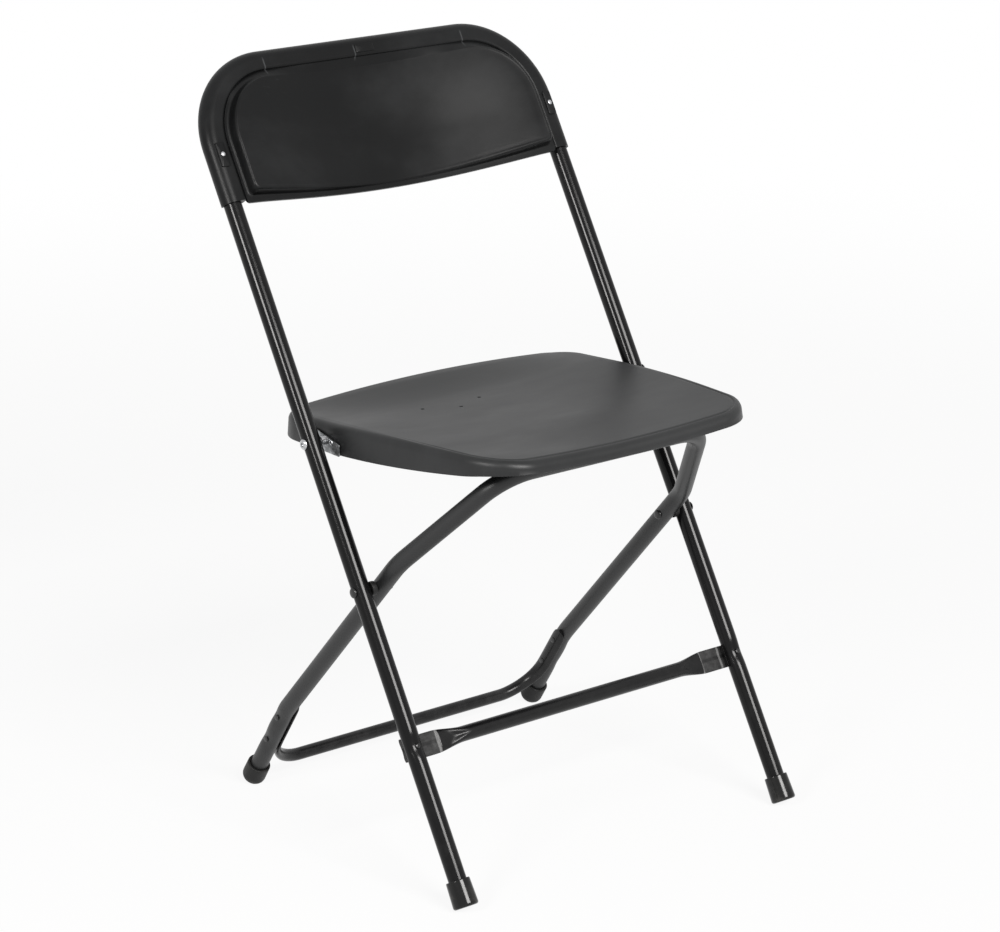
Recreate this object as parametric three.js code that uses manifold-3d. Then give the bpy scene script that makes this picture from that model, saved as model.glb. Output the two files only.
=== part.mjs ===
// Folding chair on two crossed tube frames, with a moulded back and a moulded seat.
// Millimetres, Z up. The chair faces -Y and stands on Z = 0.
import * as THREE from "three";
import { mergeVertices } from "three/addons/utils/BufferGeometryUtils.js";
import Module from "manifold-3d";

const wasm = await Module();
wasm.setup();

// Clearances and overruns shared by several pieces
const fitGap = 0.3; // between pieces that touch on the real chair
const cutOverrun = 30; // how far every cutter runs past what it cuts
const weldDistance = 0.0001; // vertices closer than this are one vertex

// Steel tube of both leg frames, and the thinner tube of the two crossbars
const tubeRadius = 9.5;
const tubeWall = 1.2;
const barRadius = 8;
const barWall = 1.2;
const flatHalfHeight = 12.2; // an end of the front crossbar after pressing
const flatHalfThickness = 1.6;
const tubeSides = 12;
const bendSteps = 6;

// Rows and columns of faces in the moulded pieces
const panelRows = 3;
const panelColumns = 8;
const seatRows = 7;
const seatColumns = 7;
const panCornerSteps = 5;
const seatEdgeSteps = 3;
const rimOuterSteps = 5;
const rimInnerSteps = 7;
const plateCornerSteps = 4;

// Front frame: one tube from foot to foot over the top of the back, leaning back
const frontHalfWidth = 214; // tube centre from the middle of the chair
const frontLeanDegrees = 30.9;
const frameTopAlong = 902.5; // all "Along" sizes run up the leaning tube from the floor
const frameCornerRadius = 85;
const legPivotAlong = 338;
const seatPivotAlong = 497;
const frontBarAlong = 172.5;

// Rear frame: knees above the feet, parallel legs, then a neck up to the cross tube
const pivotSpacerThickness = 5.9;
const rearLeanDegrees = 42.7;
const rearSplayDegrees = 0.68; // the legs spread a little towards the feet
const kneeBelowPivot = 254;
const kneeDegrees = 8.9;
const kneeRadius = 120;
const neckAbovePivot = 42;
const neckDegrees = 23.3;
const neckRadius = 60;
const crossAbovePivot = 184;
const crossCornerRadius = 50;

// Folding: the rear frame swings up to the front frame while the seat turns up faster
const rearFoldDegrees = 65;
const seatFoldPerLegFold = 1.78;

// Foot caps
const frontCapTopRadius = 12.4;
const frontCapBottomRadius = 13.2;
const frontCapHeight = 28;
const frontCapRounding = 2.6;
const rearCapTopRadius = 12.6;
const rearCapBottomRadius = 12.8;
const rearCapHeight = 27;
const rearCapRounding = 9;
const capFloor = 4; // rubber under the tube end
const capLip = 1; // rounding of the upper rim
const soleDepth = 0.9; // how much of the lowest edge is worn flat

// Rivets and pivot pins
const pinRadius = 3;
const pinHeadRadius = 5.4;
const pinHeadHeight = 2.2;
const spacerRadius = 7.5;
const seatHeadRadius = 5.6;
const seatHeadHeight = 2.8;
const seatHeadRecessRadius = 2.4;
const seatHeadRecessDepth = 1.4;
const seatBushRadius = 5;
const seatTailRadius = 4;
const seatTailHeight = 1.6;
const seatTailPocket = 6;
const rivetRadius = 2.3;
const rivetHeadRadius = 4;
const rivetHeadHeight = 1.5;
const pinSides = 8;
const capSides = 16;
const capCornerSteps = 3;
const saddleSides = 20;
const domeSteps = 2;

// Front crossbar
const frontFlatReach = 7; // past the leg tube's centre
const frontFlatLength = 51; // pressed flat, from the tip inwards
const frontFlatBlend = 38; // from flat back to round
const frontBlendShares = [0, 0.25, 0.5, 0.75, 1];
const frontCurlShares = [1, 0.6, 0.3, 0];

// Rear crossbar: a shallow U whose ends are pressed into cups that hug the legs
const rearBarRadius = 6.9;
const rearBarBelowKnee = 98.2;
const rearBarTipBelowKnee = 1;
const rearBarCornerRadius = 42;
const rearBarCupLength = 56;
const rearBarCupBlend = 34;
const cupThickness = 3;
const cupHalfDegrees = 45;
const cupForwardDegrees = 28; // middle of the cup, from straight inwards towards the front
const rearRivetsBelowKnee = [11, 48.5];

// Seat
const bracketGap = 7.5; // leg tube to seat bracket
const bracketThickness = 1.6;
const bracketHalfLength = 23;
const bracketTop = 11; // above the pivot
const bracketBottom = 13; // below the pivot
const bracketCornerRadius = 4;
const bracketRivetOffset = 10;
const bracketRivetDrop = 0.8; // below the pivot
const seatReach = 252.9; // pivot to front edge
const seatTail = 98.2; // pivot to rear edge
const seatFrontHalfWidth = 169.4;
const seatTaperStart = 7; // ahead of the pivot, where the sides start to close in
const seatTaperPower = 1.5;
const seatFrontRadius = 55;
const seatBackRadius = 40;
const seatBackBow = 5.5; // the rear edge swells out in the middle
const seatWall = 3.4;
const skirtDepthRear = 23.7;
const skirtDepthFront = 13.9;
const skirtDepthSwell = 10.9; // extra depth halfway
const skirtDraft = 1.2;
const seatEdgeRounding = 8.5;
const seatInnerEdgeShares = [[0.33, 0.17], [0, 0.5]]; // shares of the rounding, [inwards, down]
const seatDishInset = 15;
const seatCrestHeight = 16.2; // edge of the seat above the pivot
const seatSlopeDegrees = 4.5;
const seatFrontDroop = 6.8; // how far the edge falls short of that slope at the front
const seatRearCrown = 5.9; // the rear edge arches up in the middle
const rearCrownRun = 76;
const seatFrontDip = 7.6; // the front edge dips in the middle
const frontDipRun = 126;
const seatDishDepth = 8.5;
const seatDishPower = 2.6;
const waterfallRun = 46;
const waterfallDrop = 2.2;
const drainRadius = 2.1;
const drainSpacing = 37;
const drainCount = 5;
const drainStep = 17.5; // every second hole is this far ahead of the pivots
const ribThickness = 2.6;
const ribShy = 2.6; // ribs end this far above the edge of the skirt
const ribSpacing = 45;
const ribCount = 5;
const crossRibSpacing = 78;
const crossRibCount = 3;
const crossRibStart = -150;
const saddleHalfLength = 17;
const saddleThickness = 11;
const saddleRise = 4; // lowest edge of a saddle above the middle of the cross tube
const ribStock = 120; // height of the uncut blocks that ribs and saddles are trimmed from
const reliefGap = 1.6;

// Back
const rimWall = 2;
const rimBottomAlong = 756;
const rimLipDegrees = -25;
const rimInnerDegrees = 200;
const rimFlatInner = 8.6;
const rimShoulder = 1.6;
const panelBottomAlong = 753;
const panelBottomBow = 5; // the middle of the lower edge hangs this far below its ends
const panelThickness = 3;
const panelEdgeForward = 23; // side edges of the panel, ahead of the tube centres
const panelSagitta = 20;
const valleyForward = 5;
const valleySagitta = 7;
const panelRidgeInset = 20.5; // ridge to tube centre
const panelOuterInset = 11.5;
const ridgeLift = 12.3; // ridge above the panel's lower edge
// Shares of the way from strip to ridge, from lower edge to ridge, and from valley to panel
const frontFaceShares = [
  [0, 0, 0],
  [0.36, 0.54, 0],
  [0.55, 0.66, 0.12],
  [0.78, 0.83, 0.85],
  [1, 1, 1],
  [1.33, 1.22, 0.98],
];
const rearFaceShares = [
  [1.33, 1.37, 0.97],
  [1.11, 1.2, 0.85],
  [0.89, 1.05, 0.12],
  [0.67, 0.95, 0],
  [0, 0, 0],
];
const bossHalfWidth = 5;
const bossHalfHeight = 13.5;
const bossProud = 1.3;
const backRivetAlong = 807;
const backRibThickness = 2.4;
const backRibDepth = 4.6;
const backRibSpacing = 78;
const backRibFoot = 16;
const backRibHead = 34;

// Sizes that follow from the ones above
const frontLean = THREE.MathUtils.degToRad(frontLeanDegrees);
const rearLean = THREE.MathUtils.degToRad(rearLeanDegrees);
const knee = THREE.MathUtils.degToRad(kneeDegrees);
const neck = THREE.MathUtils.degToRad(neckDegrees);
const rearFold = THREE.MathUtils.degToRad(rearFoldDegrees);
const seatFold = rearFold * seatFoldPerLegFold;
const rearHalfWidth = frontHalfWidth - 2 * tubeRadius - pivotSpacerThickness - 2 * fitGap;
const footLean = rearLean - knee;
const splay = Math.tan(THREE.MathUtils.degToRad(rearSplayDegrees));
const pivotHeight = legPivotAlong * Math.cos(frontLean);
const kneeHeight = pivotHeight - kneeBelowPivot * Math.cos(rearLean);
const kneeToFloor = kneeHeight / Math.cos(footLean);
const bracketOuter = frontHalfWidth - tubeRadius - bracketGap;
const seatHalfWidth = bracketOuter - bracketThickness - fitGap;
const seatInnerFace = seatHalfWidth - skirtDraft - seatWall;

const X = new THREE.Vector3(1, 0, 0);
const Y = new THREE.Vector3(0, 1, 0);
const Z = new THREE.Vector3(0, 0, 1);

// Paint, plastic, rubber and bright steel
const frontPaint = { color: 0x161617, roughness: 0.22, metalness: 0.0 };
const rearPaint = { color: 0x262728, roughness: 0.42, metalness: 0.0 };
const barPaint = { color: 0x1c1d1e, roughness: 0.35, metalness: 0.0 };
const backPlastic = { color: 0x2a2b2c, roughness: 0.55, metalness: 0.0 };
const seatPlastic = { color: 0x47484a, roughness: 0.6, metalness: 0.0 };
const rubber = { color: 0x151515, roughness: 0.5, metalness: 0.0 };
const blackRivet = { color: 0x2b2b2d, roughness: 0.3, metalness: 0.6 };
const brightSteel = { color: 0xb9babc, roughness: 0.25, metalness: 1.0 };
const platedSteel = { color: 0x77797c, roughness: 0.4, metalness: 0.9 };
const spacerNylon = { color: 0x1a1a1a, roughness: 0.5, metalness: 0.0 };

// A closed surface from a list of triangle corners, turned to face outwards.
function surface(corners) {
  const flat = corners.flatMap((p) => [p.x, p.y, p.z]);
  const loose = new THREE.BufferGeometry();
  loose.setAttribute("position", new THREE.Float32BufferAttribute(flat, 3));
  const geometry = mergeVertices(loose, weldDistance);
  const index = geometry.index.array;
  const at = geometry.attributes.position;
  const [a, b, c] = [new THREE.Vector3(), new THREE.Vector3(), new THREE.Vector3()];
  let volume = 0;
  for (let i = 0; i < index.length; i += 3) {
    a.fromBufferAttribute(at, index[i]);
    b.fromBufferAttribute(at, index[i + 1]);
    c.fromBufferAttribute(at, index[i + 2]);
    volume += a.dot(b.cross(c));
  }
  if (volume < 0) {
    for (let i = 0; i < index.length; i += 3) {
      [index[i + 1], index[i + 2]] = [index[i + 2], index[i + 1]];
    }
  }
  return geometry;
}

// Two triangles for every side of the band between two rings.
function band(lower, upper) {
  return lower.flatMap((p, i) => {
    const j = (i + 1) % lower.length;
    return [p, lower[j], upper[j], p, upper[j], upper[i]];
  });
}

// Bands through a list of rings.
function bands(rings) {
  return rings.slice(1).flatMap((ring, i) => band(rings[i], ring));
}

// A hollow form: the outer rings, round the end, and back along the inner rings.
function hollow(outer, inner) {
  return surface(bands([...outer, ...inner.slice().reverse(), outer[0]]));
}

// A solid form between two flat ends that follow the section's outline.
function solidLoft(rings, section) {
  const clockwise = THREE.ShapeUtils.isClockWise(section);
  const faces = THREE.ShapeUtils.triangulateShape(section, []);
  const end = (ring, turn) => faces.flatMap((f) => (turn ? [f[0], f[2], f[1]] : f).map((k) => ring[k]));
  const last = rings[rings.length - 1];
  return surface([...bands(rings), ...end(rings[0], !clockwise), ...end(last, clockwise)]);
}

// Stations along straight runs joined by round bends. A corner is [place, bend radius].
function bentPath(corners) {
  const stations = [];
  const add = (point, along) => stations.push({ point, along });
  corners.forEach(([place, radius], i) => {
    const before = i > 0 ? place.clone().sub(corners[i - 1][0]).normalize() : null;
    const after = i < corners.length - 1 ? corners[i + 1][0].clone().sub(place).normalize() : null;
    if (!before || !after) {
      add(place.clone(), (before || after).clone());
      return;
    }
    const turn = before.angleTo(after);
    const axis = before.clone().cross(after).normalize();
    const start = place.clone().addScaledVector(before, -radius * Math.tan(turn / 2));
    const centre = start.clone().addScaledVector(axis.clone().cross(before), radius);
    const steps = Math.max(2, Math.round((bendSteps * turn) / (Math.PI / 2)));
    for (let k = 0; k <= steps; k += 1) {
      const angle = (turn * k) / steps;
      const point = start.clone().sub(centre).applyAxisAngle(axis, angle).add(centre);
      add(point, before.clone().applyAxisAngle(axis, angle));
    }
  });
  return stations;
}

// Carries a side direction along the stations without twisting it.
function carried(stations, firstSide) {
  const side = firstSide.clone();
  return stations.map(({ point, along }, i) => {
    if (i > 0) {
      side.applyQuaternion(new THREE.Quaternion().setFromUnitVectors(stations[i - 1].along, along));
    }
    side.addScaledVector(along, -side.dot(along)).normalize();
    return { point, along, side: side.clone(), over: along.clone().cross(side) };
  });
}

function placeSection(frame, section) {
  return section.map((p) =>
    frame.point.clone().addScaledVector(frame.side, p.x).addScaledVector(frame.over, p.y),
  );
}

function circle(radius) {
  return Array.from({ length: tubeSides }, (unused, i) => {
    const angle = (2 * Math.PI * (i + 0.5)) / tubeSides;
    return new THREE.Vector2(radius * Math.cos(angle), radius * Math.sin(angle));
  });
}

function steelTube(frames, radius, wall) {
  return hollow(
    frames.map((f) => placeSection(f, circle(radius))),
    frames.map((f) => placeSection(f, circle(radius - wall))),
  );
}

// A solid round bar along frames, used as a cutter.
function roundBar(frames, radius) {
  return solidLoft(frames.map((f) => placeSection(f, circle(radius))), circle(radius));
}

function toSolid(geometry) {
  const bare = new THREE.BufferGeometry();
  bare.setAttribute("position", geometry.getAttribute("position"));
  if (geometry.index) bare.setIndex(geometry.index);
  const merged = mergeVertices(bare, weldDistance);
  const triVerts = new Uint32Array(merged.index.array);
  const vertProperties = merged.attributes.position.array;
  return new wasm.Manifold(new wasm.Mesh({ numProp: 3, vertProperties, triVerts }));
}

function fromSolid(solid) {
  const { vertProperties, numProp, numVert, triVerts } = solid.getMesh();
  const at = new Float32Array(numVert * 3);
  for (let i = 0; i < numVert; i += 1) {
    at.set(vertProperties.subarray(i * numProp, i * numProp + 3), i * 3);
  }
  const geometry = new THREE.BufferGeometry();
  geometry.setAttribute("position", new THREE.BufferAttribute(at, 3));
  geometry.setIndex(new THREE.BufferAttribute(triVerts, 1));
  return geometry;
}

// Joins the first list of forms and cuts the second list from them.
function joinAndCut(joined, cut) {
  let result = joined.map(toSolid).reduce((all, one) => all.add(one));
  for (const cutter of cut) result = result.subtract(toSolid(cutter));
  return fromSolid(result);
}

// A turned form about a line through a place, its profile given as [radius, distance along].
function turned(profile, place, direction, sides = pinSides) {
  const lathe = new THREE.LatheGeometry(profile.map(([r, d]) => new THREE.Vector2(r, d)), sides);
  lathe.applyQuaternion(new THREE.Quaternion().setFromUnitVectors(Y, direction));
  lathe.translate(place.x, place.y, place.z);
  return lathe;
}

// A straight round hole or shank from one distance to another along a line.
function drill(radius, place, direction, from, to, sides = pinSides) {
  return turned([[0, from], [radius, from], [radius, to], [0, to]], place, direction, sides);
}

// Half of a domed rivet head, from its rim to its crown, as profile points.
function dome(radius, height, base, outwards) {
  return Array.from({ length: domeSteps + 1 }, (unused, i) => {
    const angle = (Math.PI / 2) * (i / domeSteps);
    return [radius * Math.cos(angle), base + outwards * height * Math.sin(angle)];
  });
}

// A pin through pieces that lie between two distances along its line, a head at each end.
function headedPin(place, direction, from, to, [shank, head, height]) {
  const start = from - fitGap;
  const end = to + fitGap;
  const profile = [
    ...dome(head, height, start, -1).reverse(),
    [shank, start],
    [shank, end],
    ...dome(head, height, end, 1),
  ];
  profile[0][0] = 0;
  profile[profile.length - 1][0] = 0;
  return turned(profile, place, direction);
}

function rivet(place, direction, from, to) {
  return headedPin(place, direction, from, to, [rivetRadius, rivetHeadRadius, rivetHeadHeight]);
}

function mesh(name, geometry, look) {
  const loose = geometry.index ? geometry.toNonIndexed() : geometry;
  loose.deleteAttribute("uv");
  loose.computeVertexNormals();
  const made = new THREE.Mesh(loose, new THREE.MeshStandardMaterial(look));
  made.name = name;
  return made;
}

const bothSides = [["left", -1], ["right", 1]];

// Bar along frames, pressed from its round section to the end section near each tip.
function pressedBar(frames, radius, endSection, endLength, blendLength) {
  const run = [0];
  frames.slice(1).forEach((f, i) => run.push(run[i] + f.point.distanceTo(frames[i].point)));
  const total = run[run.length - 1];
  const sections = (inset) =>
    frames.map((f, i) => {
      const fromTip = Math.min(run[i], total - run[i]);
      const roundness = THREE.MathUtils.smoothstep(fromTip, endLength, endLength + blendLength);
      const end = endSection(inset);
      return placeSection(f, circle(radius - inset).map((p, k) => end[k].clone().lerp(p, roundness)));
    });
  return hollow(sections(0), sections(barWall));
}

// Flat end of the front crossbar, its corners rounded.
function flatSection(inset) {
  const bulge = (value) => Math.sign(value) * Math.sqrt(Math.abs(value));
  const [thick, high] = [flatHalfThickness - inset, flatHalfHeight - inset];
  return circle(1).map((p) => new THREE.Vector2(thick * bulge(p.x), high * bulge(p.y)));
}

// Foot caps

// How far up the leg's line the bottom of a cap sits so that its sole lies on the floor.
function capStart(lean, radius, rounding) {
  const reach = (radius - rounding) * Math.sin(lean) + rounding - soleDepth;
  return reach / Math.cos(lean) - rounding;
}

// The cap's own axis runs up its leg from the floor. The floor trims the sole.
function footCap(lean, [topRadius, bottomRadius], height, rounding) {
  const start = capStart(lean, bottomRadius, rounding);
  const corner = Array.from({ length: capCornerSteps + 1 }, (unused, i) => {
    const angle = (Math.PI / 2) * (i / capCornerSteps);
    const out = bottomRadius - rounding + rounding * Math.sin(angle);
    return [out, start + rounding - rounding * Math.cos(angle)];
  });
  const bore = tubeRadius + 2 * fitGap;
  const profile = [
    [0, start],
    ...corner,
    [topRadius, start + height - capLip],
    [topRadius - capLip, start + height],
    [bore, start + height],
    [bore, start + capFloor],
    [0, start + capFloor],
  ];
  const cap = turned(profile, new THREE.Vector3(), Z, capSides);
  const size = 2 * (bottomRadius + cutOverrun);
  const floor = new THREE.BoxGeometry(size, size, size);
  floor.translate(0, 0, -size / 2);
  floor.rotateX(lean);
  return joinAndCut([cap], [floor]);
}

function tubeStart(lean, radius, rounding) {
  return capStart(lean, radius, rounding) + capFloor + fitGap;
}

// Front frame. Its own axes: X across, Y to the rear, Z up along the leaning legs.

const frontTubeStart = tubeStart(frontLean, frontCapBottomRadius, frontCapRounding);
const legPivot = new THREE.Vector3(0, 0, legPivotAlong);
const seatPivot = new THREE.Vector3(0, 0, seatPivotAlong);
const frontBarBack = tubeRadius + fitGap + flatHalfThickness; // bar centre behind the leg centres

function framePath(inset, start) {
  const half = frontHalfWidth + inset;
  const top = frameTopAlong + inset;
  const corner = frameCornerRadius + inset;
  return bentPath([
    [new THREE.Vector3(-half, 0, start), 0],
    [new THREE.Vector3(-half, 0, top), corner],
    [new THREE.Vector3(half, 0, top), corner],
    [new THREE.Vector3(half, 0, start), 0],
  ]);
}

function frontFrameTube() {
  const tube = steelTube(carried(framePath(0, frontTubeStart), X), tubeRadius, tubeWall);
  const holes = bothSides.flatMap(([, side]) => {
    const leg = new THREE.Vector3(side * frontHalfWidth, 0, 0);
    const up = (along) => leg.clone().setZ(along);
    const half = tubeRadius + fitGap;
    return [
      drill(pinRadius + fitGap, up(legPivotAlong), X, -half, half),
      drill(pinRadius + fitGap, up(seatPivotAlong), X, -half, half),
      drill(rivetRadius + fitGap, up(frontBarAlong), Y, -half, half),
      drill(rivetRadius + fitGap, up(backRivetAlong), Y, -half, half),
    ];
  });
  return joinAndCut([tube], holes);
}

// The bar runs behind the legs. Its tips curl forward round the outside of each leg.
function frontCrossbar() {
  const tip = frontHalfWidth + frontFlatReach;
  const flatEnd = tip - frontFlatLength;
  const roundEnd = flatEnd - frontFlatBlend;
  const blend = frontBlendShares.map((share) => THREE.MathUtils.lerp(flatEnd, roundEnd, share));
  const curl = frontCurlShares.map((share) => frontHalfWidth + frontFlatReach * share);
  const half = [...curl, frontHalfWidth - tubeRadius, ...blend];
  const places = [...half.map((x) => -x), ...half.slice().reverse()];
  const frames = places.map((x) => {
    const past = Math.max(0, Math.abs(x) - frontHalfWidth);
    const back = Math.sqrt(frontBarBack ** 2 - past ** 2);
    const lean = -Math.sign(x) * Math.asin(past / frontBarBack);
    const side = new THREE.Vector3(-Math.sin(lean), Math.cos(lean), 0);
    return { point: new THREE.Vector3(x, back, frontBarAlong), side, over: Z };
  });
  const bar = pressedBar(frames, barRadius, flatSection, frontFlatLength, frontFlatBlend);
  const holes = bothSides.map(([, side]) => {
    const place = new THREE.Vector3(side * frontHalfWidth, 0, frontBarAlong);
    return drill(rivetRadius + fitGap, place, Y, 0, frontBarBack + cutOverrun);
  });
  return joinAndCut([bar], holes);
}

function frontFramePieces() {
  const pieces = [mesh("front_frame_tube", frontFrameTube(), frontPaint)];
  pieces.push(mesh("front_crossbar", frontCrossbar(), barPaint));
  for (const [word, side] of bothSides) {
    const out = new THREE.Vector3(side, 0, 0);
    const leg = new THREE.Vector3(side * frontHalfWidth, 0, 0);
    const up = (along) => leg.clone().setZ(along);
    const radii = [frontCapTopRadius, frontCapBottomRadius];
    const cap = footCap(frontLean, radii, frontCapHeight, frontCapRounding);
    cap.translate(leg.x, 0, 0);
    pieces.push(mesh("front_foot_cap_" + word, cap, rubber));
    const barRivet = rivet(up(frontBarAlong), Y, -tubeRadius, frontBarBack + flatHalfThickness);
    pieces.push(mesh("front_crossbar_rivet_" + word, barRivet, blackRivet));
    const inner = -(frontHalfWidth - rearHalfWidth) - tubeRadius;
    const pinSizes = [pinRadius, pinHeadRadius, pinHeadHeight];
    const pin = headedPin(up(legPivotAlong), out, inner, tubeRadius, pinSizes);
    pieces.push(mesh("leg_pivot_pin_" + word, pin, blackRivet));
    pieces.push(mesh("leg_pivot_spacer_" + word, pivotSpacer(up(legPivotAlong), out), spacerNylon));
    pieces.push(mesh("seat_pivot_pin_" + word, seatPivotPin(up(seatPivotAlong), out), brightSteel));
    const proud = -(tubeRadius + fitGap + rimWall + bossProud);
    const backRivet = rivet(up(backRivetAlong), Y, proud, tubeRadius);
    pieces.push(mesh("back_rivet_" + word, backRivet, brightSteel));
  }
  return pieces;
}

// Ring that keeps the two leg tubes apart on their pivot pin.
function pivotSpacer(place, out) {
  const far = -tubeRadius - fitGap - pivotSpacerThickness;
  const near = -tubeRadius - fitGap;
  const bore = pinRadius + fitGap;
  const profile = [[bore, far], [spacerRadius, far], [spacerRadius, near], [bore, near], [bore, far]];
  return turned(profile, place, out);
}

// Stepped pin: recessed head outside the leg, bush in the gap, small head inside the seat.
function seatPivotPin(place, out) {
  const head = tubeRadius + fitGap;
  const bushStart = -tubeRadius - fitGap;
  const bushEnd = -tubeRadius - bracketGap + fitGap;
  const inside = seatInnerFace - fitGap - frontHalfWidth;
  const end = inside - seatTailHeight;
  const crown = dome(seatHeadRadius, seatHeadHeight, head, 1)
    .filter(([r]) => r > seatHeadRecessRadius);
  const rim = head + seatHeadHeight * Math.sqrt(1 - (seatHeadRecessRadius / seatHeadRadius) ** 2);
  const profile = [
    [0, end],
    [seatTailRadius, end],
    [seatTailRadius, inside],
    [pinRadius, inside],
    [pinRadius, bushEnd],
    [seatBushRadius, bushEnd],
    [seatBushRadius, bushStart],
    [pinRadius, bushStart],
    [pinRadius, head],
    ...crown,
    [seatHeadRecessRadius, rim],
    [seatHeadRecessRadius, rim - seatHeadRecessDepth],
    [0, rim - seatHeadRecessDepth],
  ];
  return turned(profile, place, out);
}

// Back: a rim clipped over the tube, joined to a hollow-curved panel with a raised edge.

// Heights ahead of the tube centres of the panel and of the valley round it.
function panelForward(x) {
  const half = frontHalfWidth - panelRidgeInset;
  return panelEdgeForward - panelSagitta * (1 - Math.min(1, (x / half) ** 2));
}

function valleyLevel(x) {
  const half = frontHalfWidth - panelRidgeInset;
  return valleyForward - valleySagitta * (1 - Math.min(1, (x / half) ** 2));
}

// Rim section. X runs outwards from the tube centre, Y to the rear.
function rimSection() {
  const outer = tubeRadius + fitGap + rimWall;
  const inner = tubeRadius + fitGap;
  const arc = (radius, from, to, steps) =>
    Array.from({ length: steps + 1 }, (unused, i) => {
      const angle = THREE.MathUtils.degToRad(THREE.MathUtils.lerp(from, to, i / steps));
      return new THREE.Vector2(radius * Math.cos(angle), -radius * Math.sin(angle));
    });
  return [
    ...arc(outer, rimLipDegrees, 90, rimOuterSteps),
    new THREE.Vector2(-rimFlatInner, -outer),
    new THREE.Vector2(-outer + rimShoulder / 2, -outer + rimShoulder),
    new THREE.Vector2(-outer, -rimFlatInner),
    ...arc(outer, 180, rimInnerDegrees, 1),
    ...arc(inner, rimInnerDegrees, rimLipDegrees, rimInnerSteps),
  ];
}

function backRim() {
  const section = rimSection();
  const frames = framePath(0, rimBottomAlong).map(({ point, along }) => ({
    point,
    side: new THREE.Vector3(-along.z, 0, along.x),
    over: Y,
  }));
  return solidLoft(frames.map((f) => placeSection(f, section)), section);
}

// One edge of a pan from left to right: a corner, the straight middle and the other corner.
function panEdge(half, radius, middleSteps) {
  const corner = Array.from({ length: panCornerSteps + 1 }, (unused, i) => {
    const angle = (Math.PI / 2) * (1 - i / panCornerSteps);
    return [-(half - radius) - radius * Math.sin(angle), radius * (1 - Math.cos(angle))];
  });
  const middle = Array.from({ length: middleSteps - 1 }, (unused, i) => [
    THREE.MathUtils.lerp(-(half - radius), half - radius, (i + 1) / middleSteps),
    0,
  ]);
  const mirrored = corner.map(([x, drop]) => [-x, drop]).reverse();
  return [...corner, ...middle, ...mirrored];
}

// Closed ring of a pan's outline: far edge, right side, near edge and left side.
function panRing(size, middleSteps, rows, place) {
  const edge = (radius) => panEdge(size.half, radius, middleSteps);
  const far = edge(size.farRadius).map(([x, drop]) => place(x, size.far - drop));
  const near = edge(size.nearRadius).map(([x, drop]) => place(x, size.near + drop));
  const sideAt = (x) =>
    Array.from({ length: rows - 1 }, (unused, r) => {
      const from = size.far - size.farRadius;
      const to = size.near + size.nearRadius;
      return place(x, THREE.MathUtils.lerp(from, to, (r + 1) / rows));
    });
  return [...far, ...sideAt(size.half), ...near.reverse(), ...sideAt(-size.half).reverse()];
}

// Fills a pan ring with rows of faces between its far and near edges.
function panFill(ring, rows, settle) {
  const count = ring.length / 2 - rows + 1;
  const far = ring.slice(0, count);
  const right = ring.slice(count, count + rows - 1);
  const near = ring.slice(count + rows - 1, 2 * count + rows - 1).reverse();
  const left = ring.slice(2 * count + rows - 1).reverse();
  const grid = Array.from({ length: rows + 1 }, (unused, r) =>
    far.map((p, i) => {
      if (r === 0) return p;
      if (r === rows) return near[i];
      if (i === 0) return left[r - 1];
      if (i === count - 1) return right[r - 1];
      return settle(p.clone().lerp(near[i], r / rows));
    }),
  );
  const faces = [];
  for (let r = 0; r < rows; r += 1) {
    for (let i = 0; i < count - 1; i += 1) {
      const [a, b, c, d] = [grid[r][i], grid[r][i + 1], grid[r + 1][i + 1], grid[r + 1][i]];
      faces.push(a, b, c, a, c, d);
    }
  }
  return faces;
}

// Closed pan: rings from the middle of the underside round the edge to the middle of the top.
function pan(rings, rows, settleUnder, settleTop) {
  const first = panFill(rings[0], rows, settleUnder);
  const turnedFirst = [];
  for (let i = 0; i < first.length; i += 3) turnedFirst.push(first[i], first[i + 2], first[i + 1]);
  const last = panFill(rings[rings.length - 1], rows, settleTop);
  return surface([...bands(rings), ...last, ...turnedFirst]);
}

// Panel: rings from the middle of its rear face round the lower and outer edge to the front.
function backPanel() {
  const ringAt = ([across, up, share], back) => {
    const inset = THREE.MathUtils.lerp(panelOuterInset, panelRidgeInset, across);
    const lift = ridgeLift * up;
    const size = {
      half: frontHalfWidth - inset,
      far: frameTopAlong - inset,
      near: panelBottomAlong + lift,
      farRadius: frameCornerRadius - inset,
      nearRadius: panelThickness + lift / 2,
    };
    return panRing(size, panelColumns, panelRows, (x, along) => {
      const forward = THREE.MathUtils.lerp(valleyLevel(x), panelForward(x), share);
      const height = frameTopAlong - panelBottomAlong;
      const low = THREE.MathUtils.clamp((frameTopAlong - along) / height, 0, 1);
      const bow = panelBottomBow * low ** 2 * (1 - (x / frontHalfWidth) ** 2);
      return new THREE.Vector3(x, back - forward, along - bow);
    });
  };
  const rear = rearFaceShares.map((shares) => ringAt(shares, panelThickness));
  const front = frontFaceShares.map((shares) => ringAt(shares, 0));
  const settle = (back) => (p) => p.setY(back - panelForward(p.x));
  return pan([...rear, ...front], panelRows, settle(panelThickness), settle(0));
}

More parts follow.
